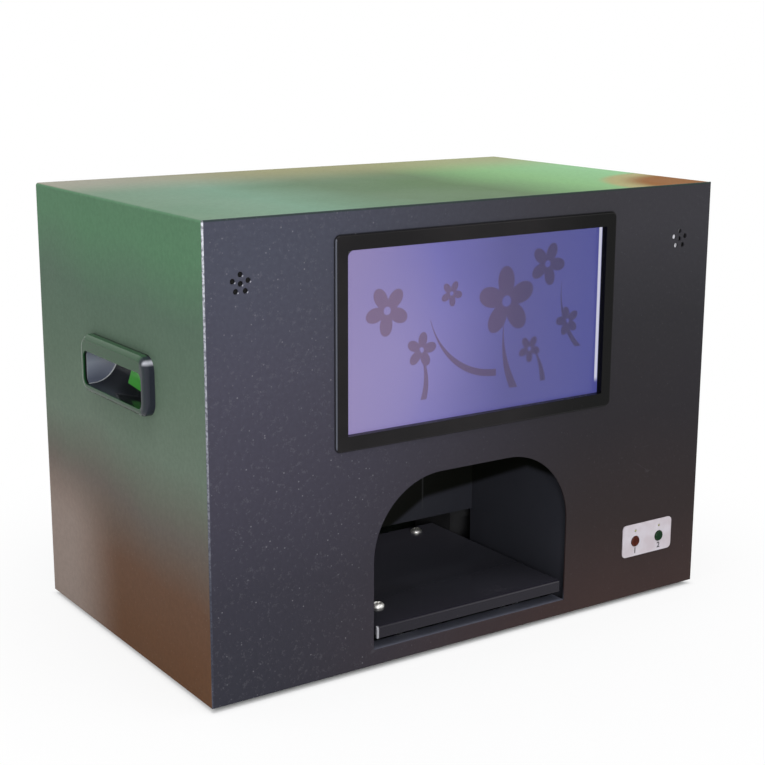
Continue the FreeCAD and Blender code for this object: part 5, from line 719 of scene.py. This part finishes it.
dress(cap_plastic("button_red", (78, 27, 11), (60, 18, 7)), "button_left")
dress(cap_plastic("button_green", (14, 48, 26), (9, 38, 19)), "button_right")
dress(cap_plastic("lamp_plastic", (170, 172, 128), (140, 140, 104)), "indicator_leds")

material, tree, shader, place = finish("numeral_ink")
ink = noise(tree, place, 1800.0, 2.0)
join_up(tree, shader, tint(tree, ink, (38, 36, 40), (66, 62, 66)), mottle(tree, ink, 0.45, 0.6))
plate_low, plate_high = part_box("button_plate")
for number, cap in ((1, "button_left"), (2, "button_right")):
    low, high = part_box(cap)
    text = bpy.data.curves.new(f"numeral_{number}", "FONT")
    text.body = str(number)
    text.size = NUMERAL_SIZE
    text.align_x = text.align_y = "CENTER"
    text.extrude = NUMERAL_RISE
    text.offset = NUMERAL_BOLD
    holder = add_object(f"numeral_{number}_text", text)
    bpy.context.view_layer.update()
    mesh = bpy.data.meshes.new_from_object(holder.evaluated_get(bpy.context.evaluated_depsgraph_get()))
    bpy.data.objects.remove(holder)
    upright = Matrix.Rotation(math.pi / 2, 4, "X")
    middle = Vector(((low.x + high.x) / 2, plate_low.y, (plate_low.z + plate_high.z) / 2 - NUMERAL_DROP))
    mesh.transform(Matrix.Translation(middle) @ upright)
    mesh.materials.clear()
    mesh.materials.append(material)
    mesh.name = f"numeral_{number}"
    link_in(f"numeral_{number}", mesh, "root", "black_plastic")


# ---- Hand tray and its screws.
# Folded steel sheet in hard gloss black enamel with fine wiping scratches; three bright pan-head screws with
# cross recesses hold it to its carrier. Painted light lightens the enamel towards the rear and marks the lip's left
# end.

HEAD_SHOULDER = 0.42     # share of a pan head's height that is its upright side
RECESS_REACH = 0.58      # cross recess, as a share of the head's radius
RECESS_WIDTH = 0.17      # half an arm of it, likewise
RECESS_DEPTH = 0.55      # as a share of the head's height
HEAD_SPREAD = 1.4        # flanged heads of the tray screws against their plain ones, in width
HEAD_RAISE = 1.25        # and in height
LIP_Y = (-0.1535, -0.1555)       # the tray's folded lip, and
LIP_END_X = (-0.1022, -0.1028)   # its left end, where a highlight is painted

material, tree, shader, place = finish("tray_enamel")
cloud = noise(tree, place, 12.0, 4.0)
wiped = use(tree, scuffs, place, Size=26.0, Stretch=(0.5, 2.6, 1.0))[0]
peel = noise(tree, place, 330.0, 1.0)
worn = use(tree, rubbed, place, Radius=0.0012, Patches=40.0, Cover=0.40)[0]
marks = most(tree, times(tree, wiped, 0.12), times(tree, worn, 0.2))
x, y, _ = axes(tree, place)
lip = spread(tree, y, *LIP_Y)
# Painted light: the black enamel is drawn grey and lighter towards the rear, where the bay's shade falls.
colour = ramp(tree, plus(tree, y, times(tree, cloud, 0.02)), -0.14, 0.02, (45, 44, 51), (60, 60, 67), (80, 80, 89),
              (98, 97, 108))
colour = tint(tree, lip, colour, (20, 17, 28))
# A painted highlight on the lip's left end.
colour = tint(tree, times(tree, lip, spread(tree, x, *LIP_END_X, 0.0, 0.6)), colour, (200, 200, 206))
join_up(tree, shader, tint(tree, marks, colour, (132, 126, 128)),
        plus(tree, mottle(tree, cloud, 0.06, 0.14), times(tree, marks, 0.25)), peel, 0.00001)
fix(shader, Specular_IOR_Level=0.25)
dress(material, "hand_tray")


def bare_metal(name, base, streak, rough_low, rough_high, stretch, size):
    """Bare or plated metal: a stretched grain for the way that it was rolled, drawn or turned."""
    material, tree, shader, place = finish(name)
    grain = noise(tree, vector(tree, "MULTIPLY", place, stretch), size, 3.0)
    cloud = noise(tree, place, 40.0, 3.0)
    colour = tint(tree, spread(tree, grain, 0.3, 0.75), base, streak)
    colour = tint(tree, spread(tree, cloud, 0.55, 0.8, 0.0, 0.25), colour, (120, 116, 110))
    join_up(tree, shader, colour, mottle(tree, grain, rough_low, rough_high), grain, 0.000015)
    fix(shader, Metallic=1.0)
    return material


def pan_heads(name, places, axis, radius, height, seat, material, body, slot, node, fineness):
    """Pan heads with cross recesses, one round each place. A head's skin runs from its crown to its seat: its
    height is full at the middle and falls with the fourth power of the radius to the shoulder, less a cross
    whose four arms have soft walls, and the side then drops straight."""
    turn = np.linspace(0, 2 * np.pi, fineness, endpoint=False)
    across = np.linspace(0, 1, fineness // 3)[:, None]
    ring_x, ring_y = across * np.cos(turn), across * np.sin(turn)
    dome = 1 - (1 - HEAD_SHOULDER) * across ** 4 * np.ones_like(ring_x)

    def arm(along, beside):
        """Soft-edged arm of the cross along one direction."""
        ends = np.clip((RECESS_REACH - np.abs(along)) / 0.06, 0, 1)
        walls = np.clip((RECESS_WIDTH - np.abs(beside)) / 0.05, 0, 1)
        return ends * walls

    cross = np.maximum(arm(ring_x, ring_y), arm(ring_y, ring_x))
    top = dome - RECESS_DEPTH * cross
    side = np.stack([np.cos(turn), np.sin(turn), np.zeros(fineness)], -1)[None]
    crown = np.stack([ring_x, ring_y, top], -1)
    shape = np.concatenate([crown, side], 0) * np.array([radius, radius, height])
    grids = []
    for x, y, z in places:
        if axis == "Z":
            points = shape + np.array([x, y, seat])
        else:
            points = shape[..., [0, 2, 1]] + np.array([x, seat, z])
        grids.append((points, False, True))
    link_in(name, skin(name, grids, material), body, slot, node)


def solids_of(node):
    """Lowest and highest corner of each separate solid of a node, from vertices that edges join."""
    mesh = bpy.data.meshes.new_from_object(nodes[node])
    shape = bmesh.new()
    shape.from_mesh(mesh)
    bmesh.ops.remove_doubles(shape, verts=shape.verts, dist=1e-6)
    left, found = set(shape.verts), []
    while left:
        group, reach = set(), [left.pop()]
        while reach:
            vertex = reach.pop()
            group.add(vertex)
            for edge in vertex.link_edges:
                other = edge.other_vert(vertex)
                if other in left:
                    left.discard(other)
                    reach.append(other)
        corners = np.array([vertex.co for vertex in group])
        found.append((corners.min(axis=0).tolist(), corners.max(axis=0).tolist()))
    shape.free()
    bpy.data.meshes.remove(mesh)
    return sorted(found)


chrome = bare_metal("chrome_screw", (252, 251, 248), (236, 234, 230), 0.46, 0.6, (1.0, 1.0, 0.1), 1500.0)
screws = solids_of("tray_screws")
screw_low, screw_high = screws[0]
tray_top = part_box("hand_tray")[1].z
pan_heads("tray_screw_heads", [((low[0] + high[0]) / 2, (low[1] + high[1]) / 2, 0.0) for low, high in screws], "Z",
          HEAD_SPREAD * (screw_high[0] - screw_low[0]) / 2, HEAD_RAISE * (screw_high[2] - tray_top), tray_top, chrome,
          "tray", "chrome_screw", "tray_screws", 96)


# ---- Camera over the hand.
# A small lens barrel through the liner's ceiling; the lens is coated glass that bulges from its seat.

LENS_BULGE = 0.001
LENS_ROUND, LENS_ROWS = 48, 16     # points round the lens and from its middle to its rim

# Spark-eroded black plastic: fine matte grain with slightly polished edges.
material, tree, shader, place = finish("black_plastic")
grain = use(tree, pebble, place, Grain=1300.0)
worn = use(tree, rubbed, place, Radius=0.0005, Patches=150.0, Cover=0.5)[0]
cloud = noise(tree, place, 30.0, 3.0)
colour = tint(tree, mottle(tree, cloud, 0.0, 1.0), (34, 34, 36), (48, 48, 50))
colour = tint(tree, times(tree, worn, 0.4), colour, (110, 110, 112))
join_up(tree, shader, colour, mottle(tree, cloud, 0.45, 0.62), grain["Height"], 0.00006)
dress(material, "camera_module", "button_switches", "belt_clamp", "print_carriage", "capping_station", "fan_frame",
      "fan_rotor", "switch_housing")

material, tree, shader, place = finish("lens_coating")
film = noise(tree, place, 240.0, 2.0)
join_up(tree, shader, tint(tree, film, (12, 14, 40), (44, 16, 52)), mottle(tree, film, 0.02, 0.06))
fix(shader, Coat_Weight=1.0)

# The lens is a half ellipse of revolution below a flat back: its drop follows the root of one less the square of
# the share of the radius.
lens_low, lens_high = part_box("camera_lens")
middle = (lens_low + lens_high) / 2
turn = np.linspace(0, 2 * np.pi, LENS_ROUND, endpoint=False)
share = np.linspace(0, 1, LENS_ROWS)[:, None]
radius = (lens_high.x - lens_low.x) / 2
ring_x, ring_y = middle.x + share * radius * np.cos(turn), middle.y + share * radius * np.sin(turn)
bulge = np.sqrt(np.clip(1 - share ** 2, 0, 1)) * np.ones(ring_x.shape)
bowl = np.stack([ring_x, ring_y, lens_low.z + (1 - bulge) * LENS_BULGE], -1)
back = np.stack([ring_x, ring_y, np.full(ring_x.shape, lens_high.z)], -1)[::-1]
link_in("camera_lens_glass", skin("camera_lens_glass", [(np.concatenate([bowl, back]), False, True)], material), "root",
        "lens_glass", "camera_lens")


# ---- Tray drive and print mechanism.
# Machined aluminium, ground steel rods, zinc-plated folded steel, black motors with bare end bells, toothed
# rubber belts, a clear encoder film and a felt pad.

dress(bare_metal("aluminium_plate", (196, 198, 201), (168, 170, 174), 0.26, 0.42, (1.0, 0.08, 1.0),
                 900.0), "tray_carrier", "tray_bearing_blocks", "rod_supports", "heat_sink", "tray_drive_pulley",
      "tray_idler_pulley", "carriage_drive_pulley", "carriage_idler_pulley")
dress(bare_metal("ground_steel", (206, 206, 208), (184, 184, 188), 0.1, 0.18, (1.0, 1.0, 1.0), 2600.0),
      "tray_rods", "carriage_shaft")
dress(bare_metal("head_steel", (190, 190, 190), (160, 160, 162), 0.2, 0.32, (0.1, 1.0, 1.0), 900.0), "print_head")
dress(bare_metal("socket_steel", (204, 204, 206), (176, 176, 180), 0.18, 0.3, (1.0, 0.1, 1.0), 1600.0), "io_ports")

material, tree, shader, place = finish("zinc_sheet")
flakes = put(tree, "TexVoronoi", Vector=place, Scale=120.0).outputs["Color"]
shade = axes(tree, flakes)[0]
join_up(tree, shader, tint(tree, shade, (196, 199, 202), (150, 155, 162)),
        spread(tree, shade, 0, 1, 0.3, 0.46), shade, 0.00001)
fix(shader, Metallic=1.0)
dress(material, "lcd_brackets", "mechanism_frame", "belt_idler_bracket", "electronics_shelf", "power_supply")

material, tree, shader, place = finish("motor_steel")
laminae = bands(tree, place, "Y", 260.0)
grain = use(tree, pebble, place, Grain=900.0)
join_up(tree, shader, tint(tree, laminae, (58, 58, 61), (30, 30, 32)),
        spread(tree, laminae, 0, 1, 0.38, 0.55), plus(tree, laminae, grain["Height"]), 0.00004)
fix(shader, Metallic=0.7)
dress(material, "tray_motor", "carriage_motor")

material, tree, shader, place = finish("belt_rubber")
teeth = bands(tree, place, "DIAGONAL", 80.0)
join_up(tree, shader, tint(tree, teeth, (24, 24, 25), (40, 40, 41)), spread(tree, teeth, 0, 1, 0.6, 0.8), teeth, 0.0002)
dress(material, "tray_belt", "carriage_belt")

material, tree, shader, place = finish("encoder_film")
lines = bands(tree, place, "X", 500.0)
join_up(tree, shader, tint(tree, spread(tree, lines, 0.4, 0.6), (60, 58, 54), (206, 202, 190)),
        spread(tree, lines, 0, 1, 0.15, 0.25))
dress(material, "encoder_strip")

material, tree, shader, place = finish("felt")
fibre = noise(tree, place, 1300.0, 5.0, Distortion=1.5)
stain = noise(tree, place, 22.0, 3.0)
colour = tint(tree, fibre, (216, 210, 198), (176, 170, 160))
join_up(tree, shader, tint(tree, spread(tree, stain, 0.58, 0.72, 0.0, 0.7), colour, (70, 60, 84)),
        spread(tree, fibre, 0.2, 0.8, 0.9, 1.0), fibre, 0.0004)
dress(material, "waste_ink_pad")

# Cartridges differ by their ink, which shows in the moulding: four bands along the carriage.
material, tree, shader, place = finish("cartridge_plastic")
first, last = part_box("ink_cartridges")
step = put(tree, "MapRange", Value=axes(tree, place)[0], From_Min=first.x, From_Max=last.x)
inks = put(tree, "ValToRGB", Fac=step.outputs[0])
inks.color_ramp.interpolation = "CONSTANT"
stops = inks.color_ramp.elements
for i, ink in enumerate(((20, 110, 150), (150, 30, 90), (190, 160, 30), (34, 34, 36))):
    stop = stops[i] if i < 2 else stops.new(i / 4)
    stop.position, stop.color = i / 4, display(*ink)
cloud = noise(tree, place, 300.0, 3.0)
join_up(tree, shader, tint(tree, spread(tree, cloud, 0.3, 0.8, 0.0, 0.4), inks.outputs[0], (24, 24, 26)),
        mottle(tree, cloud, 0.3, 0.42), cloud, 0.00003)
dress(material, "ink_cartridges")


# ---- Electronics.
# Glass-fibre boards with green solder mask over copper tracks, and components in black, tin and white.

BOARD_THICK = (0.0018, 0.0022)   # heights on the main board between which its parts begin

material, tree, shader, place = finish("circuit_board")
tracks = put(tree, "TexBrick", Vector=place, Scale=180.0, Mortar_Size=0.03, Color1=display(24, 84, 52),
             Color2=display(28, 96, 60), Mortar=display(60, 128, 84))
above = spread(tree, axes(tree, place)[2], *(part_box("mainboard")[0].z + thick for thick in BOARD_THICK))
colour = tint(tree, above, tracks.outputs[0], (36, 36, 38))
join_up(tree, shader, colour, spread(tree, tracks.outputs[1], 0, 1, 0.25, 0.4), tracks.outputs[1], 0.00003)
dress(material, "mainboard", "control_board", "button_board")


# ---- Rear fittings: fan guard, mains inlet, rocker switch and case screws.
# The guard is bright plated wire, three rings welded to two crossed bars that end in eyes; the inlet is a
# black thermoset moulding with nickel pins; the screws are black pan heads.

GUARD_RADIUS = 0.0271              # outermost of the three rings
EYE_RADIUS = 0.004                 # outside of the eyes at the bars' ends
RING_STEPS, WIRE_STEPS = 72, 12    # points round a ring and round its wire
PIN_HALF = (0.00105, 0.0085, 0.00205)     # half sizes of a pin's bare part
PINS = ((-0.007, -0.002), (0.0, 0.003), (0.007, -0.002))    # from the inlet's middle
PIN_BACK = 0.0015                  # and how far behind it


def tube_ring(centre, radius, wire):
    """Wire ring in the XZ plane: a circle of the wire's radius carried round a circle."""
    along = np.linspace(0, 2 * np.pi, RING_STEPS, endpoint=False)[:, None]
    cut = np.linspace(0, 2 * np.pi, WIRE_STEPS, endpoint=False)
    reach = radius + wire * np.cos(cut)
    depth = centre.y + wire * np.sin(cut) * np.ones_like(along)
    return np.stack([centre.x + reach * np.cos(along), depth, centre.z + reach * np.sin(along)], -1)


def tube_bar(centre, direction, reach, wire):
    """Wire bar through a centre: a circle carried along a line, drawn in to a point at both ends."""
    along = np.array([-1, -1, -0.98, 0.98, 1, 1])[:, None] * reach
    size = np.array([0, 0.6, 1, 1, 0.6, 0])[:, None] * wire
    cut = np.linspace(0, 2 * np.pi, WIRE_STEPS, endpoint=False)
    line = np.array(centre) + along[..., None] * np.array(direction)
    up = np.cross(direction, (0, 1, 0))
    return line + (size * np.cos(cut))[..., None] * up + (size * np.sin(cut))[..., None] * np.array((0, 1, 0))


guard_low, guard_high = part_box("fan_guard")
wire = (guard_high.y - guard_low.y) / 2
centre = (guard_low + guard_high) / 2
bar_reach = ((guard_high.x - guard_low.x) / 2 - EYE_RADIUS) * math.sqrt(2)
grids = [(tube_ring(centre, GUARD_RADIUS * share / 3, wire), True, True) for share in (1, 2, 3)]
for angle in (math.pi / 4, 3 * math.pi / 4):
    direction = (math.cos(angle), 0.0, math.sin(angle))
    grids.append((tube_bar(centre, direction, bar_reach - EYE_RADIUS + wire, wire), False, True))
    for end in (-1, 1):
        grids.append((tube_ring(centre + Vector(direction) * bar_reach * end, EYE_RADIUS - wire, wire), True, True))
plated = bare_metal("plated_wire", (212, 212, 214), (180, 180, 184), 0.12, 0.26, (1.0, 1.0, 1.0), 900.0)
link_in("fan_guard_wire", skin("fan_guard_wire", grids, plated), "root", "chrome_wire", "fan_guard")

# The inlet's pins are the flat bars inside its socket: metal where the place lies in one of three boxes.
pin, given, result = effect("inside_box", ("Mask",), Place=None, Middle=None, Half=None)
off = vector(pin, "ABSOLUTE", vector(pin, "SUBTRACT", given["Place"], given["Middle"]))
left = vector(pin, "SUBTRACT", given["Half"], off)
pin.links.new(calc(pin, "GREATER_THAN", calc(pin, "MINIMUM", *axes(pin, left)), 0.0), result["Mask"])

material, tree, shader, place = finish("inlet_moulding")
inlet_low, inlet_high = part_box("power_inlet")
middle = (inlet_low + inlet_high) / 2
metal_and_highlight = most(tree, *(use(tree, pin, place, Middle=(middle.x + dx, middle.y + PIN_BACK, middle.z + dz), Half=PIN_HALF)[0]
                    for dx, dz in PINS))
grain = use(tree, pebble, place, Grain=1500.0)
colour = tint(tree, grain["Crest"], (28, 28, 30), (46, 46, 48))
tree.links.new(metal_and_highlight, shader.inputs["Metallic"])
join_up(tree, shader, tint(tree, metal_and_highlight, colour, (206, 200, 184)), spread(tree, metal_and_highlight, 0, 1, 0.5, 0.25),
        grain["Height"], 0.00005)
dress(material, "power_inlet")
dress(gloss("rocker_plastic", (24, 24, 25), (34, 34, 35), 0.18, 0.3, (110, 110, 110), 0.5), "power_rocker")

black_oxide = bare_metal("black_oxide", (52, 52, 54), (36, 36, 38), 0.3, 0.45, (1.0, 1.0, 1.0), 1500.0)
screws = solids_of("case_screws")
screw_low, screw_high = screws[0]
rear_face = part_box("wrap_cover")[1].y
pan_heads("case_screw_heads", [((low[0] + high[0]) / 2, 0.0, (low[2] + high[2]) / 2) for low, high in screws], "Y",
          (screw_high[0] - screw_low[0]) / 2, screw_high[1] - rear_face, rear_face, black_oxide, "root",
          "black_screw", "case_screws", 48)


# ---- Studio: pale floor, white surroundings, three soft lamps and the camera.

FLOOR_HALF = 6.0
SHADOW_RIM = (0.009, 0.002)      # how far inside the object's box, across and in depth, the shade under it may start
CAMERA_PLACE = Vector((-0.7758, -1.1499, 0.5283))
CAMERA_YAW = math.radians(34.227)
CAMERA_PITCH = math.radians(13.239)
CAMERA_ROLL = math.radians(0.224)
CAMERA_LENS = 72.336             # on a sensor of
CAMERA_SENSOR = 36.0


def plainly_seen(tree):
    """Share of the rays for which the surroundings are plain white: the camera's, and those of gloss and glass."""
    rays = put(tree, "LightPath").outputs
    return most(tree, rays["Is Camera Ray"], rays["Is Glossy Ray"], rays["Is Transmission Ray"])


# The floor keeps the object's shadow near it and turns to the background's white further out.
floor_mesh = bpy.data.meshes.new("studio_floor")
floor_mesh.from_pydata([(x * FLOOR_HALF, y * FLOOR_HALF, 0) for x, y in ((-1, -1), (1, -1), (1, 1), (-1, 1))], [],
                       [(0, 1, 2, 3)])
add_object("studio_floor", floor_mesh)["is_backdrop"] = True
material, tree, shader, place = finish("studio_floor")
paper = noise(tree, place, 30.0, 3.0)
join_up(tree, shader, tint(tree, paper, (0.86, 0.86, 0.86, 1), (0.88, 0.88, 0.88, 1)), mottle(tree, paper, 0.8, 0.9))
fix(shader, Specular_IOR_Level=0.1)
white = put(tree, "Emission", Color=(1, 1, 1, 1), Strength=1.0)
x, y, _ = axes(tree, place)
outside = most(tree, minus(tree, calc(tree, "ABSOLUTE", x), cad_high.x - SHADOW_RIM[0]),
               minus(tree, calc(tree, "ABSOLUTE", y), cad_high.y - SHADOW_RIM[1]))
away = vector(tree, "LENGTH", place, output="Value")
share = times(tree, spread(tree, away, 0.26, 0.55, 0.85, 1.0), spread(tree, outside, -0.010, 0.006), plainly_seen(tree))
mixed = put(tree, "MixShader", Fac=share, _1=shader.outputs[0], _2=white.outputs[0])
tree.links.new(mixed.outputs[0], tree.nodes["Material Output"].inputs["Surface"])
floor_mesh.materials.append(material)

world = bpy.data.worlds.new("studio_world")
bpy.context.scene.world = world
world.use_nodes = True
tree = world.node_tree
tree.nodes.clear()
dim = put(tree, "Background", Color=(0.96, 0.97, 1.0, 1), Strength=0.45)
bright = put(tree, "Background", Color=(1, 1, 1, 1), Strength=1.0)
both = put(tree, "MixShader", Fac=plainly_seen(tree), _1=dim.outputs[0], _2=bright.outputs[0])
tree.links.new(both.outputs[0], tree.nodes.new("ShaderNodeOutputWorld").inputs["Surface"])

for name, place, target, size, power in (("key_lamp", (-1.7, -3.0, 0.95), (0, 0, 0.2), 0.9, 42.0),
                                         ("fill_lamp", (2.2, -2.0, 1.3), (0, 0, 0.2), 1.8, 12.0),
                                         ("top_lamp", (-0.4, -0.5, 2.8), (0, 0, 0.3), 2.0, 46.0)):
    lamp = bpy.data.lights.new(name, "AREA")
    lamp.shape, lamp.size, lamp.energy = "DISK", size, power
    holder = add_object(name, lamp)
    holder.location = place
    holder.rotation_mode = "QUATERNION"
    holder.rotation_quaternion = (Vector(target) - Vector(place)).to_track_quat("-Z", "Y")

bpy.context.scene.view_settings.view_transform = "Standard"
camera_data = bpy.data.cameras.new("studio_camera")
camera_data.sensor_width, camera_data.lens = CAMERA_SENSOR, CAMERA_LENS
camera_data.clip_start, camera_data.clip_end = 0.05, 40.0
camera = add_object("studio_camera", camera_data)
ahead = Vector((math.sin(CAMERA_YAW) * math.cos(CAMERA_PITCH), math.cos(CAMERA_YAW) * math.cos(CAMERA_PITCH),
                -math.sin(CAMERA_PITCH)))
level = Vector((math.cos(CAMERA_YAW), -math.sin(CAMERA_YAW), 0))
upward = level.cross(ahead)
to_right = level * math.cos(CAMERA_ROLL) + upward * math.sin(CAMERA_ROLL)
to_top = upward * math.cos(CAMERA_ROLL) - level * math.sin(CAMERA_ROLL)
camera.matrix_world = Matrix.Translation(CAMERA_PLACE) @ Matrix((to_right, to_top, -ahead)).transposed().to_4x4()
bpy.context.scene.camera = camera

low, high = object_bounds()
